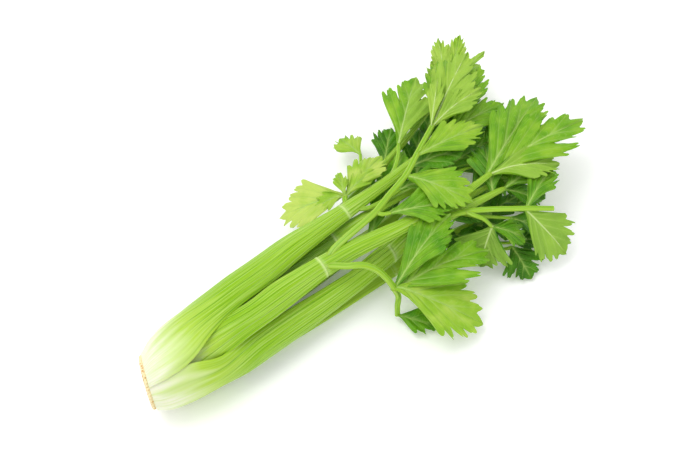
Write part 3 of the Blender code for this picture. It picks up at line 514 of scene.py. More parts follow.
def arrange():
    """Bend every stem and leaflet clear of those that lie below it, from the bottom up."""
    bodies, leaves, plan = {}, {}, {}
    table_top = HeightMap(FLOOR_LEVEL)
    for name, (stalk, _) in STALKS.items():
        bodies[name] = HeightMap()
        leaves[name] = HeightMap()
        for x in np.arange(SAMPLE_START, stalk[-1][0], SAMPLE_STEP):
            bodies[name].add(section(stalk, x))
    lower = []
    for name in STALKS:
        rows = stem_rows(name)
        start, end = rows[0][0], rows[-1][0]
        xs = np.arange(start, end, SAMPLE_STEP)
        shape = np.vstack([section(rows, x) for x in xs])
        along = np.repeat((xs - start) / (end - start), sum(SAMPLE_RING))
        below = [leaves[n] for n in lower] + [table_top]
        stem_lift = lift_table(shape, along, below, LIFT_STARTS["stem"], 0.5 * CLEARANCE)
        bodies[name].add(lifted(shape, along, stem_lift))
        below = [bodies[n] for n in lower] + below
        stems = {}
        for label, path, root, tip in SIDE_STEMS.get(name, ()):
            path = np.array(path, float)
            if label in FORKS:
                parent, table = stems[FORKS[label][0]][:2]
                fork = lifted(path_at(parent, FORKS[label][1]), [FORKS[label][1]], table)[0]
            else:
                fork = stem_middle(rows, path[0, 0], stem_lift)
            path[1:, 2] += fork[2] - path[0, 2]
            path[0] = fork
            grid, run = tube_grid(path, (root, tip))
            table = lift_table(grid, run, below, LIFT_STARTS["side stem"], 0.5 * CLEARANCE)
            leaves[name].add(lifted(grid, run, table))
            stems[label] = (path, table, root, tip)
        blades = []
        own = HeightMap()
        for leaf in LEAFLETS[name]:
            if leaf.stem == "stem":
                base = stem_middle(rows, start + leaf.share * (end - start), stem_lift)
            else:
                path, table = stems[leaf.stem][:2]
                base = lifted(path_at(path, leaf.share), [leaf.share], table)[0]
            if leaf.share == 1.0:
                base = base - ROOT_SUNK * (leaf.tip - base) / np.linalg.norm(leaf.tip - base)
            grid, run = leaflet_grid(leaf, base, 4, 9)
            table = lift_table(grid, run, below, LIFT_STARTS["blade"], CLEARANCE)
            over = lift_table(lifted(grid, run, table), run, [own], LIFT_STARTS["own"], 0.7 * CLEARANCE)
            table[:, 1] += np.minimum(over[:, 1], OWN_LIFT)
            own.add(lifted(grid, run, table))
            blades.append((leaf, base, table))
        leaves[name].top = np.maximum(leaves[name].top, own.top)
        plan[name] = (stem_lift, stems, blades)
        lower.append(name)
    return plan


PLAN = arrange()


def linear(code):
    """An sRGB hex value as linear red, green, blue and alpha."""
    channels = [int(code[i:i + 2], 16) / 255 for i in (1, 3, 5)]
    return tuple(c / 12.92 if c <= 0.04045 else ((c + 0.055) / 1.055) ** 2.4
                 for c in channels) + (1.0,)


def unit(vectors):
    """The same directions at length 1."""
    return vectors / np.maximum(np.linalg.norm(vectors, axis=-1, keepdims=True), 1e-9)


def ease(low, high, x):
    """0 below low, 1 above high, and smooth between."""
    t = np.clip((x - low) / (high - low), 0, 1)
    return t * t * (3 - 2 * t)


def bump(x, middle, width):
    """A bell, 1 at the middle."""
    return np.exp(-((x - middle) / width) ** 2)


def net(rows, columns, closed):
    """Quads between the neighbours of a grid of points, the last column meeting the first if closed."""
    row = np.arange(rows - 1)[:, None] * columns
    column = np.arange(columns if closed else columns - 1)[None, :]
    beside = (column + 1) % columns
    a, b = row + column, row + beside
    return np.stack([a, b, b + columns, a + columns], axis=-1).reshape(-1, 4)


def caps(total, sides):
    """Fans that close the first and last ring of `total` points at the two poles that follow them."""
    j = np.arange(sides)
    k = (j + 1) % sides
    return [np.stack([np.full(sides, total), k, j], axis=-1),
            np.stack([np.full(sides, total + 1), j + total - sides, k + total - sides], axis=-1)]


def outward(points, faces):
    """The faces of one closed shell, turned so that they enclose a positive volume."""
    volume = 0.0
    for block in faces:
        for k in range(1, block.shape[1] - 1):
            a, b, c = points[block[:, 0]], points[block[:, k]], points[block[:, k + 1]]
            volume += np.einsum("ij,ij->", a, np.cross(b, c))
    return faces if volume > 0 else [block[:, ::-1] for block in faces]


def piece(name, shells, finish, nodes):
    """One object from closed shells: each is points in millimetres, face arrays and values by point."""
    points, faces, start = [], [], 0
    for shell in shells:
        for block in outward(shell[0], shell[1]):
            faces += (block + start).tolist()
        points.append(shell[0])
        start += len(shell[0])
    mesh = bpy.data.meshes.new(name)
    mesh.from_pydata(((np.vstack(points) + HEAD_SHIFT) * MM).tolist(), [], faces)
    for key in shells[0][2]:
        values = np.concatenate([np.broadcast_to(shell[2][key], len(shell[0])) for shell in shells])
        mesh.attributes.new(key, "FLOAT", "POINT").data.foreach_set("value", values.astype(np.float32))
    mesh.shade_smooth()
    mesh.set_sharp_from_angle(angle=math.radians(50))
    mesh.materials.append(finish)
    made = bpy.data.objects.new(name, mesh)
    bpy.context.scene.collection.objects.link(made)
    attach(made, "root")
    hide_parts(*nodes)
    return made


def ring_of(main, edge):
    """Once round a stalk's section: the share across, -1 to 1, and the face, 1 outer to -1 inner.

    Each edge is a half circle over the last EDGE_ROUND of the half width."""
    quarter = np.linspace(0, np.pi / 2, edge, endpoint=False)
    flat = np.linspace(EDGE_ROUND - 1, 1 - EDGE_ROUND, main)
    corner = 1 - EDGE_ROUND + EDGE_ROUND * np.cos(quarter)
    across = np.concatenate([-corner, flat, corner[::-1]])
    face = np.concatenate([np.sin(quarter), np.ones(main), np.sin(quarter)[::-1]])
    return np.concatenate([across, across[-2:0:-1]]), np.concatenate([face, -face[-2:0:-1]])


def swept(rows, xs, reach=18.0):
    """A table's values at xs, each averaged with those up to `reach` to either side, and less near
    the ends, so that the ends keep their place. The weight falls as (1 - offset squared) squared."""
    offsets = np.linspace(-1, 1, 13)
    weights = (1 - offsets ** 2) ** 2
    room = np.minimum(reach, np.minimum(xs - rows[0][0], rows[-1][0] - xs).clip(0))
    values = [weight * flow(rows, xs + offset * room) for offset, weight in zip(offsets, weights)]
    return sum(values) / weights.sum()


def sheath(rows, xs, across, face, sunk, spread=0.0):
    """A stalk's points on a grid, x by place round its section.

    The table gives the middle of the back, the way it faces, the arc's radius and width, and
    the depth. A point at share s across lies on the arc at s times its half angle, moved inwards
    by `sunk` and by its share of the thickness, which falls from the depth in the middle to the
    edge's thickness as the square of s grows. `spread` turns points further round, in radians."""
    y, z, turn, width, radius, depth = (column[:, None] for column in swept(rows, xs).T)
    turn = np.radians(turn)
    radius = np.maximum(radius, width / FLATTEST)
    edge = np.minimum(EDGE_THICKNESS, 0.3 * depth)
    inset = (edge + (depth - edge) * (1 - across ** 2)) * (1 - face) / 2
    angle = np.arcsin(width / 2 / radius) * across + spread
    reach = radius - 0.35 * inset - sunk
    back = reach * np.cos(angle) - radius - 0.65 * inset
    side = reach * np.sin(angle)
    return np.stack([np.broadcast_to(xs[:, None], side.shape),
                     y + back * np.sin(turn) + side * np.cos(turn),
                     np.maximum(z + back * np.cos(turn) - side * np.sin(turn), 0.0)], axis=-1)


def sheath_faces(rows, columns):
    """The skin of a closed-section grid, and a strip of faces across each end."""
    half = columns // 2
    j = np.arange(1, half - 1)
    faces = [net(rows, columns, True)]
    for first in (0, (rows - 1) * columns):
        strip = np.stack([j, j + 1, columns - j - 1, columns - j], axis=-1) + first
        ends = np.array([[0, 1, columns - 1], [half - 1, half, half + 1]]) + first
        if first == 0:
            strip, ends = strip[:, ::-1], ends[:, ::-1]
        faces += [strip, ends]
    return faces


def skin_values(xs, across, face, tint, strands, groove, joint):
    """What a stalk's skin is coloured by, at each point. `strands` is half of what it spans across."""
    values = {"along": xs[:, None], "groove": groove, "joint": joint[:, None], "tint": tint,
              "strand": across * strands, "inside": (1 - face) / 2}
    return {key: np.broadcast_to(value, (len(xs), len(across))).ravel() for key, value in values.items()}


def stalk_shell(name, sizes):
    """One stalk: ribs that are round ridges between narrow grooves, fading towards the cut, and a
    raised pale ring at its joint."""
    stalk = STALKS[name][0]
    plain = name in PLAIN_STALKS
    end = stalk[-1][0]
    wide, low, high = (HIDDEN if plain else SEEN)[0]
    across, face = ring_of(wide, 5)
    xs = np.concatenate([np.linspace(3.4, 62, low), np.linspace(64, end - 5, high),
                         np.linspace(end - 4.4, end + 0.1, 12)])
    phase = stalk[0][3]
    ribs = (9 if plain else 12) * (across + 1) / 2 + 0.45 * np.sin(3.1 * across + phase)
    drift = 0.12 * np.sin(xs / 31.0 + phase)[:, None] * (1 - across ** 2)
    groove = (1 - np.abs(np.sin(np.pi * (ribs + drift)))) ** 1.4 * ease(0.0, 1.0, face)
    strength = (0.2 + 0.8 * ease(8, 75, xs))[:, None] * (0.55 + 0.45 * np.sin(ribs * 2.6 + phase))
    swell = bump(xs, end - 1.1, 1.5)[:, None] * ease(-0.4, 0.6, face)
    sunk = sizes.rib_height / MM * groove * strength * (1 - 0.8 * swell) - sizes.joint_height / MM * swell
    lap, side = LAPS.get(name, (0.0, 1.0))
    near_cut = (1 - ease(34, 62, xs))[:, None] * ease(0.55, 1.0, side * across)
    sunk = sunk - 0.9 * np.sign(lap) * near_cut
    points = sheath(stalk, xs, across, face, sunk, side * abs(lap) * near_cut)
    values = skin_values(xs, across, face, phase / 180, 15, groove * strength, bump(xs, end - 1.0, 1.3))
    return lean(points.reshape(-1, 3)), sheath_faces(len(xs), len(across)), values


def stem_shell(name, stem_lift):
    """A frond's main stem, from inside its joint to its end, with the ribs of its stalk running on."""
    rows = stem_rows(name)
    start, end = rows[0][0], rows[-1][0]
    wide, high = (HIDDEN if name in PLAIN_STALKS else SEEN)[1]
    across, face = ring_of(wide, 4)
    xs = np.concatenate([np.linspace(start - 2, start + 6, 10), np.linspace(start + 8, end, high)])
    ribs = 8 * (across + 1) / 2
    groove = (1 - np.abs(np.sin(np.pi * ribs))) ** 1.6 * ease(0.0, 1.0, face) * np.ones((len(xs), 1))
    inside = 1 - ease(start - 0.6, start + 1.8, xs)[:, None]
    tip = ease(end - 5, end, xs)[:, None]
    sunk = 0.35 * groove + 0.45 * inside + 1.2 * tip
    points = sheath(rows, xs, across, face, sunk)
    share = np.clip((xs - start) / (end - start), 0, 1)
    points[:, :, 2] += flow(stem_lift, share)[:, :1]
    joint = 0.35 * bump(xs, start + 0.5, 1.6)
    values = skin_values(xs, across, face, rows[0][3] / 180, 9, groove, joint)
    return points.reshape(-1, 3), sheath_faces(len(xs), len(across)), values


def tube_shell(centre, radius, sides, tint, along, pale=0.0):
    """A round stem: circles square to its path, with a shallow channel along the top and fine ribs.

    `pale` is how far it takes the colour of a joint."""
    ahead = unit(np.gradient(centre, axis=0))
    side = unit(np.cross(ahead, [0.0, 0.0, 1.0]))
    up = np.cross(side, ahead)
    angle = np.linspace(0, 2 * np.pi, sides, endpoint=False)
    channel = 0.26 * bump(angle, np.pi / 2, 0.55)
    ribbed = radius[:, None] * (1 - channel + 0.035 * np.cos(7 * angle))
    points = (centre[:, None] + (ribbed * np.cos(angle))[..., None] * side[:, None]
              + (ribbed * np.sin(angle))[..., None] * up[:, None])
    points[..., 2] = np.maximum(points[..., 2], 0.05)
    count = len(centre) * sides
    shell = np.vstack([points.reshape(-1, 3), centre[:1], centre[-1:]])
    values = {"along": np.concatenate([np.repeat(along, sides), along[[0, -1]]]),
              "groove": np.concatenate([np.tile(3 * channel, len(centre)), [0, 0]]),
              "joint": pale, "strand": np.concatenate([np.tile(angle * 3, len(centre)), [0, 0]]),
              "tint": tint, "inside": 0.0}
    return shell, [net(len(centre), sides, True), *caps(count, sides)], values


def margin(outline, shift):
    """A leaflet's edge, set out evenly along its run, TOOTH_POINTS points to a small tooth.

    Between its rows each lobe swells by a sine. A tooth rises over its run as a quarter of a sine
    and falls back at once, so that it is round behind and pointed in front."""
    rows = np.array(outline)
    at = np.arange(len(rows))
    runs = np.concatenate([[0], np.cumsum(np.hypot(np.diff(rows[:, 0]), 0.4 * np.diff(rows[:, 1])))])
    count = int(runs[-1] / TOOTH) * TOOTH_POINTS
    steps = np.interp(np.linspace(0, 0.995, count + 1) * runs[-1], runs, at)
    turn = np.arange(count + 1)
    saw = (np.sin(np.pi / 2 * (turn % TOOTH_POINTS) / 4.2)
           * (1 + 0.35 * np.sin(1.9 * (turn // TOOTH_POINTS) + shift)))
    grown = ease(1.2, 2.4, steps) * (1 - ease(len(rows) - 1.5, len(rows) - 1.0, steps))
    reach = 1 + 0.05 * np.sin(np.pi * (steps % 1)) * grown + 0.075 * (saw - 0.6) * grown
    edge = np.column_stack([np.interp(steps, at, rows[:, c]) for c in range(3)])
    edge[:, 0] = edge[:, 2] + reach * (edge[:, 0] - edge[:, 2])
    edge[:, 1] *= reach
    return steps, edge


def leaflet_shell(leaf, base, table, sizes, columns=9):
    """A leaflet on a grid: the row is the place along the edge, the column how far from the midrib.

    A point lies on the vein from the midrib to its place on the edge. The sheet is sunk along the
    veins, swells between them, ruffles towards the edge, and gets its thickness along its normal."""
    veins, outline = OUTLINES[leaf.outline]
    phase = 0.7 * leaf.tip[0] + 1.3 * leaf.tip[1]
    steps, edge = margin(outline, phase)
    reach = np.linspace(0, 1, columns)
    sheets, ribs, outs = [], [], []
    sign = -1.0 if leaf.under == 1 else 1.0
    gap = np.abs(steps[:, None] - np.array(veins)).min(axis=1)[:, None]
    turn = steps[:, None]
    for side, order in ((1, reach[::-1]), (-1, reach[1:])):
        x = edge[:, 2:3] + order * (edge[:, 0:1] - edge[:, 2:3])
        out = order * edge[:, 1:2]
        sheet, normal = leaflet_points(leaf, base, x.ravel(), out.ravel(), side)
        sheet = lifted(sheet, x.ravel(), table).reshape(*x.shape, 3)
        rib = bump(gap, 0, 0.09 / (order + 0.22)) * ease(1.6, 2.4, turn) * (1 - 0.7 * order)
        rib = np.maximum(rib, bump(out * leaf.width / 2, 0, 0.55 + 0.9 * (1 - x)))
        swell = 0.5 * (1 - np.cos(np.pi * np.clip(gap, 0, 1))) * np.sin(np.pi * order) ** 0.7
        swell = swell + (0.3 * np.sin(8.0 * order + 2.1 * turn + phase)
                         * np.sin(1.7 * turn - 5.0 * order + 2 * phase))
        ruffle = (order ** 2 * np.sin(2.4 * turn + side * 0.9 + phase)
                  + 0.8 * np.sin(np.pi * order) * np.sin(7.0 * x + side * 1.7 + 2 * phase))
        height = sign * (sizes.swell / MM * swell - sizes.vein_depth / MM * rib) + sizes.ruffle / MM * ruffle
        sheets.append(sheet + height[..., None] * normal)
        ribs.append(rib)
        outs.append(order)
    sheet = np.concatenate(sheets, axis=1)
    count, wide = sheet.shape[:2]
    normal = unit(np.cross(np.gradient(sheet, axis=0), np.gradient(sheet, axis=1)))
    normal *= np.sign(normal[..., 2:].mean()) * 0.5 * sizes.leaf_thickness / MM
    top, bottom = (sheet + normal).reshape(-1, 3), (sheet - normal).reshape(-1, 3)
    points = np.vstack([top, bottom])
    points[:, 2] = np.maximum(points[:, 2], 0.05)
    face = net(count, wide, False)
    index = np.arange(count * wide).reshape(count, wide)
    rim = np.concatenate([index[0, :-1], index[:-1, -1], index[-1, :0:-1], index[:0:-1, 0]])
    beside = np.roll(rim, -1)
    below = count * wide
    faces = [face, face[:, ::-1] + below, np.stack([beside, rim, rim + below, beside + below], axis=-1)]
    twice = {"vein": np.concatenate(ribs, axis=1), "out": np.concatenate(outs), "run": turn, "beside": gap}
    values = {key: np.tile(np.broadcast_to(value, (count, wide)).ravel(), 2) for key, value in twice.items()}
    # a leaflet folded over shows its underside on one side of the midrib
    shown = np.tile(np.where(np.arange(wide) < columns, np.floor(leaf.under), np.ceil(leaf.under)), count)
    values.update(under=np.concatenate([shown, 1 - shown]), shade=leaf.shade, sort=phase % 7.0)
    return points, faces, values


def midrib_shell(leaf, base, table):
    """The raised midrib, tapering along a leaflet from its root: a thin stem set into the blade."""
    share = np.linspace(0, 0.8, 26)
    centre, normal = leaflet_points(leaf, base, share, np.zeros(26), 1)
    centre = lifted(centre, share, table) - 0.35 * normal * (-1 if leaf.under == 1 else 1)
    radius = (0.35 + 0.011 * leaf.width) * (1 - share) ** 0.9 + 0.1
    return tube_shell(centre, radius, 8, 0.2, 250 + 60 * share, 0.4 + 0.6 * leaf.under)


def root_shell():
    """The cut root plate: a round slab whose rim is ragged, and whose face dips between the cut
    bases of the stalks. The grid runs from the middle of the cut face over the rim to the back."""
    spin = np.linspace(0, 2 * np.pi, 180, endpoint=False)
    flat = np.linspace(0.4, CROWN_RADIUS - CROWN_EDGE, 46)
    turn = np.linspace(-np.pi / 2, np.pi / 2, 12)[1:-1]
    back = flat[::-6]
    half = CROWN_DEPTH / 2
    r = np.concatenate([flat, CROWN_RADIUS - CROWN_EDGE + CROWN_EDGE * np.cos(turn), back])
    x = np.concatenate([0 * flat, half + half * np.sin(turn), np.full(len(back), CROWN_DEPTH)])
    seam = np.zeros((len(r), len(spin)))
    # each layer of stalk bases: the radius of its outer seam, and where its bases meet, in degrees
    for layer_r, turns in ((20.4, ()), (15.6, (86.5, -33.5, 207.0)), (10.8, (34.0, 150.0, -86.0)),
                           (5.6, (-50.0, 130.0))):
        wobble = layer_r + 0.5 * np.sin(3 * spin + layer_r) + 0.25 * np.sin(8 * spin)
        seam = np.maximum(seam, bump(r[:, None], wobble, 0.45))
        for angle in turns:
            gap = (np.degrees(spin) - angle + 180) % 360 - 180
            inside = ease(layer_r - 0.4, layer_r + 0.4, r)[:, None]
            seam = np.maximum(seam, bump(np.radians(gap) * r[:, None], 0, 0.5) * inside)
    on_face = (1 - ease(0.0, 0.6, x))[:, None]
    ragged = 0.4 * np.sin(31 * spin) * np.sin(7 * spin + 1) + 0.25 * np.sin(53 * spin + 2)
    radius = r[:, None] + ragged * ease(CROWN_RADIUS - 2.5, CROWN_RADIUS - 0.5, r)[:, None]
    depth = x[:, None] + on_face * (0.55 * seam + 0.12 * np.sin(radius * 2.3) * np.sin(5 * spin))
    points = np.stack([depth, HEAD_AXIS[0] + radius * np.sin(spin),
                       HEAD_AXIS[1] + radius * np.cos(spin)], axis=-1)
    count, sides = points.shape[:2]
    poles = np.array([[0.0, *HEAD_AXIS], [CROWN_DEPTH, *HEAD_AXIS]])
    rim = np.repeat(ease(CROWN_RADIUS - 3.0, CROWN_RADIUS - 0.8, r), sides)
    values = {"seam": np.append((seam * on_face).ravel(), [0, 0]), "rim": np.append(rim, [0, 0])}
    faces = [net(count, sides, True), *caps(count * sides, sides)]
    return lean(np.vstack([points.reshape(-1, 3), poles])), faces, values


def add(tree, kind, inputs=None, out=0, **settings):
    """Add a shader node, set its properties, fill or link its sockets, and return its output `out`."""
    node = tree.nodes.new("ShaderNode" + kind)
    for stop, colour in settings.pop("stops", ()):
        node.color_ramp.elements.new(stop).color = colour
    for key, value in settings.items():
        setattr(node, key, value)
    for key, value in (inputs or {}).items():
        if isinstance(value, bpy.types.NodeSocket):
            tree.links.new(value, node.inputs[key])
        else:
            node.inputs[key].default_value = value
    if kind == "ValToRGB":
        node.color_ramp.elements.remove(node.color_ramp.elements[0])
        node.color_ramp.elements.remove(node.color_ramp.elements[-1])
    return node.outputs[out] if node.outputs else None


def blank(name):
    """A new material with an empty node tree."""
    finish = bpy.data.materials.new(name)
    finish.use_nodes = True
    finish.node_tree.nodes.clear()
    return finish, finish.node_tree


def stalk_skin(name, colours, inner):
    """Celery petiole: a crisp, moist, waxy skin over pale flesh, grown in strands.

    It is white where the head was kept from the light and lime green above. The strings
    under each rib are pale, and the grooves between them are a darker, wetter green. Past their
    bases the inner stalks are painted dark green, as painted shade for the shade between the outer ones."""
    finish, tree = blank(name)
    along, strand, groove, joint, tint, inside = [
        add(tree, "Attribute", out="Fac", attribute_name=key)
        for key in ("along", "strand", "groove", "joint", "tint", "inside")]
    # strands about 0.6 mm wide and 60 mm long
    lane = add(tree, "CombineXYZ", {
        "X": add(tree, "Math", {0: strand, 1: 1.6}, operation="MULTIPLY"),
        "Y": add(tree, "Math", {0: along, 1: 0.016}, operation="MULTIPLY"),
        "Z": add(tree, "Math", {0: tint, 1: 40.0}, operation="MULTIPLY")})
    fibre = add(tree, "TexNoise", {"Vector": lane, "Scale": 1.0, "Detail": 3.0, "Roughness": 0.6}, "Fac")
    broad = add(tree, "VectorMath", {0: lane, 1: (0.22, 1.3, 1.0)}, operation="MULTIPLY")
    wide = add(tree, "TexNoise", {"Vector": broad, "Scale": 1.0, "Detail": 1.0}, "Fac")
    # how green: by distance from the cut, drawn out unevenly along the strands by 25 mm either way
    spread = add(tree, "Math", {0: wide, 1: 0.5}, operation="SUBTRACT")
    spread = add(tree, "Math", {0: spread, 1: 50.0}, operation="MULTIPLY")
    reach = add(tree, "Math", {0: along, 1: spread}, operation="ADD")
    share = add(tree, "MapRange", {"Value": reach, "From Min": 0.0, "From Max": 260.0})
    skin = add(tree, "ValToRGB", {"Fac": share}, "Color", stops=[
        (0.04, linear(colours.butt)), (0.10, linear(colours.pale)), (0.18, linear(colours.young)),
        (0.31, linear(colours.lime)), (0.95, linear(colours.green))])
    depth = add(tree, "MapRange", {"Value": reach, "From Min": 8.0, "From Max": 60.0})
    light = add(tree, "MapRange", {"Value": fibre, "From Min": 0.46, "From Max": 0.70})
    # a few strands have dried brown near the cut, and none past 34 mm from it
    dry = add(tree, "MapRange", {"Value": fibre, "From Min": 0.62, "From Max": 0.74, "To Max": 0.6})
    low = add(tree, "MapRange", {"Value": along, "From Min": 14.0, "From Max": 34.0,
                                 "To Min": 1.0, "To Max": 0.0})
    # laid over it one after another: two factors that multiply to a coat's share, and its colour
    coats = [(groove, depth, colours.groove), (light, 0.55, colours.string), (inside, 0.35, colours.young),
             (joint, 0.7, colours.joint), (dry, low, colours.dried)]
    if inner:
        # painted shade: the inner stalks darken to deep green from 45 mm to 100 mm past the cut
        painted_shade = add(tree, "MapRange", {"Value": along, "From Min": 45.0, "From Max": 100.0})
        coats.insert(0, (painted_shade, 0.65, colours.inner))
    for factor, weight, code in coats:
        share = add(tree, "Math", {0: factor, 1: weight}, operation="MULTIPLY")
        skin = add(tree, "Mix", {0: share, 6: skin, 7: linear(code)}, 2, data_type="RGBA")
    relief = add(tree, "Bump", {"Height": fibre, "Strength": 0.35, "Distance": 0.2 * MM})
    shader = add(tree, "BsdfPrincipled", {
        "Base Color": skin, "Roughness": 0.34, "IOR": 1.36, "Specular IOR Level": 0.35, "Normal": relief,
        "Subsurface Weight": 0.25, "Subsurface Radius": (0.6, 1.0, 0.25), "Subsurface Scale": 3 * MM,
        "Coat Weight": 0.06, "Coat Roughness": 0.2})
    add(tree, "OutputMaterial", {"Surface": shader})
    return finish


def leaf_blade(name, colours):
    """Celery leaf: a thin, soft blade, slightly glossy and puckered above, matt and paler below.

    Veins show pale against the green, and light that comes through it is a warmer yellow-green."""
    finish, tree = blank(name)
    shade, vein, out, run, under, sort, beside = [
        add(tree, "Attribute", out="Fac", attribute_name=key)
        for key in ("shade", "vein", "out", "run", "under", "sort", "beside")]
    place = add(tree, "TexCoord", out="Object")
    # the blade is drawn out unevenly along its veins, in bands about 3 mm wide at the edge
    lane = add(tree, "CombineXYZ", {
        "X": add(tree, "Math", {0: run, 1: 3.2}, operation="MULTIPLY"),
        "Y": add(tree, "Math", {0: out, 1: 3.0}, operation="MULTIPLY"),
        "Z": sort})
    streak = add(tree, "TexNoise", {"Vector": lane, "Scale": 1.0, "Detail": 3.0, "Roughness": 0.55}, "Fac")
    # patches about 14 mm across, and cells between the finest veins about 1.6 mm across
    patch = add(tree, "TexNoise", {"Vector": place, "Scale": 70.0, "Detail": 1.0}, "Fac")
    cell = add(tree, "TexVoronoi", {"Vector": place, "Scale": 620.0, "Smoothness": 0.6}, "Distance",
               feature="SMOOTH_F1")
    # side veins leave each main vein about every 4 mm and run outwards at a slant
    slant = add(tree, "Math", {0: beside, 1: -0.55, 2: out}, operation="MULTIPLY_ADD")
    wander = add(tree, "Math", {0: slant, 1: 5.5, 2: streak}, operation="MULTIPLY_ADD")
    between = add(tree, "Math", {0: wander, 1: 0.5}, operation="PINGPONG")
    side_vein = add(tree, "MapRange", {"Value": between, "From Min": 0.0, "From Max": 0.16,
                                       "To Min": 1.0, "To Max": 0.0})
    streaks = add(tree, "Math", {0: streak, 1: 0.22}, operation="MULTIPLY")
    uneven = add(tree, "Math", {0: patch, 1: 0.62, 2: streaks}, operation="MULTIPLY_ADD")
    level = add(tree, "Math", {0: shade, 1: uneven}, operation="ADD")
    level = add(tree, "Math", {0: level, 1: 0.46}, operation="SUBTRACT")
    blade = add(tree, "ValToRGB", {"Fac": level}, "Color", stops=[
        (0.05, linear(colours.dark)), (0.30, linear(colours.deep)), (0.52, linear(colours.green)),
        (0.74, linear(colours.lime)), (0.98, linear(colours.pale))])
    lined = add(tree, "Math", {0: side_vein, 1: 0.28}, operation="MULTIPLY")
    drawn = add(tree, "Math", {0: vein, 1: 0.65, 2: lined}, operation="MULTIPLY_ADD", use_clamp=True)
    bloom = add(tree, "Math", {0: under, 1: 0.5}, operation="MULTIPLY")
    for share, code in ((drawn, colours.vein), (bloom, colours.underside)):
        blade = add(tree, "Mix", {0: share, 6: blade, 7: linear(code)}, 2, data_type="RGBA")
    domed = add(tree, "Math", {0: between, 1: 1.3, 2: streak}, operation="MULTIPLY_ADD")
    height = add(tree, "Math", {0: cell, 1: -0.8, 2: domed}, operation="MULTIPLY_ADD")
    relief = add(tree, "Bump", {"Height": height, "Strength": 0.35, "Distance": 0.4 * MM})
    rough = add(tree, "MapRange", {"Value": under, "To Min": 0.42, "To Max": 0.62})
    face = add(tree, "BsdfPrincipled", {
        "Base Color": blade, "Roughness": rough, "IOR": 1.42, "Specular IOR Level": 0.3, "Normal": relief})
    warm = add(tree, "Mix", {0: 0.5, 6: blade, 7: linear(colours.through)}, 2, data_type="RGBA")
    through = add(tree, "BsdfTranslucent", {"Color": warm, "Normal": relief})
    shader = add(tree, "MixShader", {0: 0.22, 1: face, 2: through})
    add(tree, "OutputMaterial", {"Surface": shader})
    return finish


def dry_root(name, colours):
    """Cut root plate: pith that was sliced with a knife and has dried to tan, fibrous and matt.

    The ends of the strings are brown dots, and the seams between the stalk bases are darker."""
    finish, tree = blank(name)
    seam, rim = [add(tree, "Attribute", out="Fac", attribute_name=key) for key in ("seam", "rim")]
    place = add(tree, "TexCoord", out="Object")
    grain = add(tree, "TexNoise", {"Vector": place, "Scale": 300.0, "Detail": 4.0, "Roughness": 0.65}, "Fac")
    # string ends about 2.5 mm apart
    dots = add(tree, "TexVoronoi", {"Vector": place, "Scale": 400.0}, "Distance")
    dot = add(tree, "MapRange", {"Value": dots, "From Min": 0.2, "From Max": 0.42,
                                 "To Min": 1.0, "To Max": 0.0})
    pith = add(tree, "Mix", {0: grain, 6: linear(colours.pith), 7: linear(colours.tan)}, 2,
               data_type="RGBA")
    for factor, weight, code in ((rim, 0.3, colours.tan), (dot, 0.75, colours.string_end),
                                 (seam, 0.6, colours.seam)):
        share = add(tree, "Math", {0: factor, 1: weight}, operation="MULTIPLY")
        pith = add(tree, "Mix", {0: share, 6: pith, 7: linear(code)}, 2, data_type="RGBA")
    relief = add(tree, "Bump", {"Height": grain, "Strength": 0.7, "Distance": 0.6 * MM})
    shader = add(tree, "BsdfPrincipled", {
        "Base Color": pith, "Roughness": 0.75, "IOR": 1.4, "Normal": relief})
    add(tree, "OutputMaterial", {"Surface": shader})
    return finish


def opal_floor(name, colour, glow):
    """Opal acrylic: a pale, matt sheet lit from below, so that the shadows on it stay soft and light."""
    finish, tree = blank(name)
    shader = add(tree, "BsdfPrincipled", {
        "Base Color": linear(colour), "Roughness": 0.9, "Specular IOR Level": 0.2,
        "Emission Color": linear(colour), "Emission Strength": glow})
    add(tree, "OutputMaterial", {"Surface": shader})
    return finish


class CeleryStalkSettings(bpy.types.PropertyGroup):
    rib_height: bpy.props.FloatProperty(
        name="Rib Height", description="Depth of the grooves between a stalk's ribs",
        default=0.6 * MM, min=0.0, subtype="DISTANCE", unit="LENGTH")
    joint_height: bpy.props.FloatProperty(
        name="Joint Height", description="How far the ring at a stalk's joint stands out",
        default=0.3 * MM, min=0.0, subtype="DISTANCE", unit="LENGTH")
    butt: bpy.props.StringProperty(
        name="Butt", description="Colour at the cut, as sRGB hex", default="#E4E6CE")
    pale: bpy.props.StringProperty(
        name="Pale", description="Colour where the green begins, as sRGB hex", default="#CCDC98")
    young: bpy.props.StringProperty(
        name="Young", description="Colour of the lower stalk, as sRGB hex", default="#A8CA3C")
    lime: bpy.props.StringProperty(
        name="Lime", description="Colour of the middle of a stalk, as sRGB hex", default="#86B60C")
    green: bpy.props.StringProperty(
        name="Green", description="Colour towards the leaves, as sRGB hex", default="#94BE26")
    # painted shade: this dark green stands for the shade on the inner stalks between the outer ones
    inner: bpy.props.StringProperty(
        name="Inner", description="Colour of the inner stalks further up, as sRGB hex", default="#41700A")
    groove: bpy.props.StringProperty(
        name="Groove", description="Colour of the grooves, as sRGB hex", default="#6CA40A")
    dried: bpy.props.StringProperty(
        name="Dried", description="Colour of dried strands near the cut, as sRGB hex", default="#C9AE62")
    string: bpy.props.StringProperty(
        name="String", description="Colour of the pale strands, as sRGB hex", default="#C6E080")
    joint: bpy.props.StringProperty(
        name="Joint", description="Colour of the ring at the joint, as sRGB hex", default="#D0E49C")


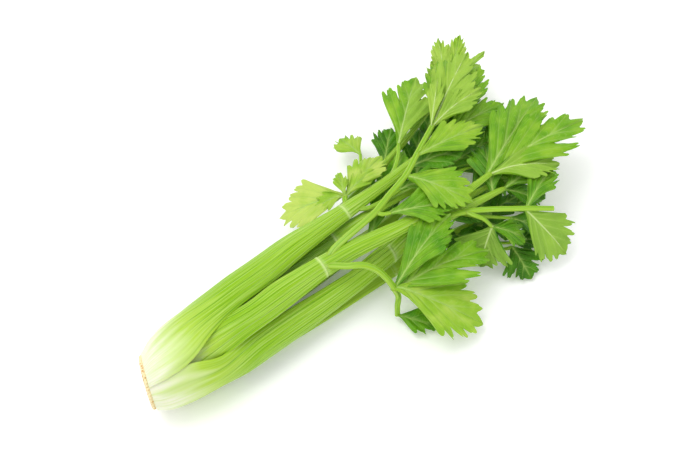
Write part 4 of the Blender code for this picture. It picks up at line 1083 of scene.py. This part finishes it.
class CeleryLeafSettings(bpy.types.PropertyGroup):
    leaf_thickness: bpy.props.FloatProperty(
        name="Leaf Thickness", description="Thickness of a leaflet's blade",
        default=0.4 * MM, min=0.0, subtype="DISTANCE", unit="LENGTH")
    vein_depth: bpy.props.FloatProperty(
        name="Vein Depth", description="How far the veins are sunk into the blade",
        default=0.35 * MM, min=0.0, subtype="DISTANCE", unit="LENGTH")
    swell: bpy.props.FloatProperty(
        name="Swell", description="How far the blade swells between its veins",
        default=0.8 * MM, min=0.0, subtype="DISTANCE", unit="LENGTH")
    ruffle: bpy.props.FloatProperty(
        name="Ruffle", description="How far the blade's edge waves up and down",
        default=1.2 * MM, min=0.0, subtype="DISTANCE", unit="LENGTH")
    dark: bpy.props.StringProperty(
        name="Dark", description="Darkest green of the leaves, as sRGB hex", default="#33700C")
    deep: bpy.props.StringProperty(
        name="Deep", description="Deep green, as sRGB hex", default="#559A0E")
    green: bpy.props.StringProperty(
        name="Green", description="Middle green, as sRGB hex", default="#7BB61A")
    lime: bpy.props.StringProperty(
        name="Lime", description="Bright lime green, as sRGB hex", default="#A0CC34")
    pale: bpy.props.StringProperty(
        name="Pale", description="Palest lime green, as sRGB hex", default="#CAE068")
    vein: bpy.props.StringProperty(
        name="Vein", description="Colour of the veins, as sRGB hex", default="#B4D66C")
    underside: bpy.props.StringProperty(
        name="Underside", description="Bloom of the underside, as sRGB hex", default="#B4D65C")
    through: bpy.props.StringProperty(
        name="Through", description="Colour of light through a leaf, as sRGB hex", default="#9CCC10")


class CeleryRootSettings(bpy.types.PropertyGroup):
    pith: bpy.props.StringProperty(
        name="Pith", description="Colour of the cut face, as sRGB hex", default="#F3E8C8")
    tan: bpy.props.StringProperty(
        name="Tan", description="Colour of the dried rim, as sRGB hex", default="#F0DCA6")
    string_end: bpy.props.StringProperty(
        name="String End", description="Colour of the cut strings, as sRGB hex", default="#CC8830")
    seam: bpy.props.StringProperty(
        name="Seam", description="Colour between the stalk bases, as sRGB hex", default="#A67B45")


class CeleryStageSettings(bpy.types.PropertyGroup):
    floor_size: bpy.props.FloatProperty(
        name="Floor Size", description="Width of the floor", default=8.0, subtype="DISTANCE",
        unit="LENGTH")
    floor: bpy.props.StringProperty(
        name="Floor", description="Colour of the floor, as sRGB hex", default="#FAFAFA")
    glow: bpy.props.FloatProperty(
        name="Glow", description="Strength of the floor's own light", default=0.12, min=0.0)
    key_power: bpy.props.FloatProperty(
        name="Key Power", description="Power of the window of light behind the head", default=7.5,
        unit="POWER")
    sky: bpy.props.FloatProperty(
        name="Sky", description="Strength of the even white light", default=1.0, min=0.0)
    lens: bpy.props.FloatProperty(
        name="Lens", description="Focal length of the camera", default=70.0, subtype="DISTANCE_CAMERA",
        unit="CAMERA")


class CELERY_OT_add_root(bpy.types.Operator):
    """Add the cut root plate"""
    bl_idname = "celery.add_root"
    bl_label = "Add Cut Root"

    def execute(self, context):
        colours = context.scene.celery_root
        piece("root_plate", [root_shell()], dry_root("dried_pith", colours), ["crown"])
        return {"FINISHED"}


class CELERY_OT_add_stalks(bpy.types.Operator):
    """Add the ribbed stalks up to their joints"""
    bl_idname = "celery.add_stalks"
    bl_label = "Add Stalks"

    def execute(self, context):
        settings = context.scene.celery_stalks
        # the finish of the inner stalks carries painted shade past their bases
        finishes = {inner: stalk_skin("inner_stalk_skin_painted_shade" if inner else "stalk_skin", settings, inner)
                    for inner in (False, True)}
        for name in STALKS:
            inner = name in HEARTWOOD
            piece("skin_" + name, [stalk_shell(name, settings)], finishes[inner],
                  ["stalk_" + name])
        return {"FINISHED"}


class CELERY_OT_add_stems(bpy.types.Operator):
    """Add the stems of the fronds, with the midribs of their leaflets"""
    bl_idname = "celery.add_stems"
    bl_label = "Add Stems"

    def execute(self, context):
        finish = stalk_skin("stem_skin", context.scene.celery_stalks, False)
        for name, (stem_lift, stems, blades) in PLAN.items():
            shells = [stem_shell(name, stem_lift)]
            for path, table, root, tip in stems.values():
                share = np.linspace(0, 1, 60)
                centre = lifted(path_at(path, share), share, table)
                radius = (root + (tip - root) * share) * (1 + 0.3 * np.exp(-share * 18))
                shells.append(tube_shell(centre, radius, 18, 0.3, 220 + 80 * share))
            shells += [midrib_shell(*blade) for blade in blades]
            piece("stems_" + name, shells, finish, ["frond_" + name])
        return {"FINISHED"}


class CELERY_OT_add_leaves(bpy.types.Operator):
    """Add the toothed and veined leaflets of every frond"""
    bl_idname = "celery.add_leaves"
    bl_label = "Add Leaves"

    def execute(self, context):
        settings = context.scene.celery_leaves
        finish = leaf_blade("leaf_blade", settings)
        for name, (_, _, blades) in PLAN.items():
            shells = [leaflet_shell(leaf, base, table, settings) for leaf, base, table in blades]
            piece("leaves_" + name, shells, finish, ["frond_" + name])
        return {"FINISHED"}


class CELERY_OT_add_stage(bpy.types.Operator):
    """Add the floor, the light and the camera"""
    bl_idname = "celery.add_stage"
    bl_label = "Add Stage"

    def execute(self, context):
        settings = context.scene.celery_stage
        half = settings.floor_size / 2
        mesh = bpy.data.meshes.new("floor")
        mesh.from_pydata([(-half, -half, 0), (half, -half, 0), (half, half, 0), (-half, half, 0)], [],
                         [(0, 1, 2, 3)])
        mesh.materials.append(opal_floor("opal_acrylic", settings.floor, settings.glow))
        floor = bpy.data.objects.new("floor", mesh)
        context.scene.collection.objects.link(floor)

        world = bpy.data.worlds.new("studio")
        context.scene.world = world
        world.use_nodes = True
        sky = world.node_tree.nodes["Background"]
        sky.inputs["Color"].default_value = (1.0, 1.0, 1.0, 1.0)
        sky.inputs["Strength"].default_value = settings.sky

        window = bpy.data.lights.new("window", "AREA")
        window.shape = "DISK"
        window.size = WINDOW_WIDTH * MM
        window.energy = settings.key_power
        lamp = bpy.data.objects.new("window", window)
        lamp.location = Vector(WINDOW_PLACE) * MM
        lamp.rotation_euler = Vector(lamp.location).to_track_quat("Z", "Y").to_euler()
        context.scene.collection.objects.link(lamp)

        lens = bpy.data.cameras.new("camera")
        lens.lens = settings.lens
        lens.sensor_width = SENSOR
        lens.clip_start = 0.05
        camera = bpy.data.objects.new("camera", lens)
        look = Vector((math.sin(AZIMUTH) * math.cos(ELEVATION), -math.cos(AZIMUTH) * math.cos(ELEVATION),
                       math.sin(ELEVATION)))
        camera.location = (Vector(AIM) + Vector(HEAD_SHIFT) + look * DISTANCE) * MM
        camera.rotation_euler = look.to_track_quat("Z", "Y").to_euler()
        context.scene.collection.objects.link(camera)
        context.scene.camera = camera
        context.scene.view_settings.view_transform = "Standard"
        return {"FINISHED"}


class CELERY_PT_head(bpy.types.Panel):
    bl_idname = "CELERY_PT_head"
    bl_label = "Celery Head"
    bl_space_type = "VIEW_3D"
    bl_region_type = "UI"
    bl_category = "Celery"

    def draw(self, context):
        for group, operators in (("celery_root", ("celery.add_root",)),
                                 ("celery_stalks", ("celery.add_stalks", "celery.add_stems")),
                                 ("celery_leaves", ("celery.add_leaves",)),
                                 ("celery_stage", ("celery.add_stage",))):
            box = self.layout.box()
            settings = getattr(context.scene, group)
            for name in settings.bl_rna.properties.keys():
                if name not in ("rna_type", "name"):
                    box.prop(settings, name)
            for operator in operators:
                box.operator(operator)


GROUPS = {"celery_root": CeleryRootSettings, "celery_stalks": CeleryStalkSettings,
          "celery_leaves": CeleryLeafSettings, "celery_stage": CeleryStageSettings}
OPERATORS = (CELERY_OT_add_root, CELERY_OT_add_stalks, CELERY_OT_add_stems, CELERY_OT_add_leaves,
             CELERY_OT_add_stage)


def register():
    for kind in (*GROUPS.values(), *OPERATORS, CELERY_PT_head):
        bpy.utils.register_class(kind)
    for name, group in GROUPS.items():
        setattr(bpy.types.Scene, name, bpy.props.PointerProperty(type=group))


def unregister():
    for name in GROUPS:
        delattr(bpy.types.Scene, name)
    for kind in (CELERY_PT_head, *reversed(OPERATORS), *GROUPS.values()):
        bpy.utils.unregister_class(kind)


def main():
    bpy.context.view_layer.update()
    register()
    bpy.ops.celery.add_root()
    bpy.ops.celery.add_stalks()
    bpy.ops.celery.add_stems()
    bpy.ops.celery.add_leaves()
    bpy.ops.celery.add_stage()
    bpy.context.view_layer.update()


if __name__ == "__main__":
    main()
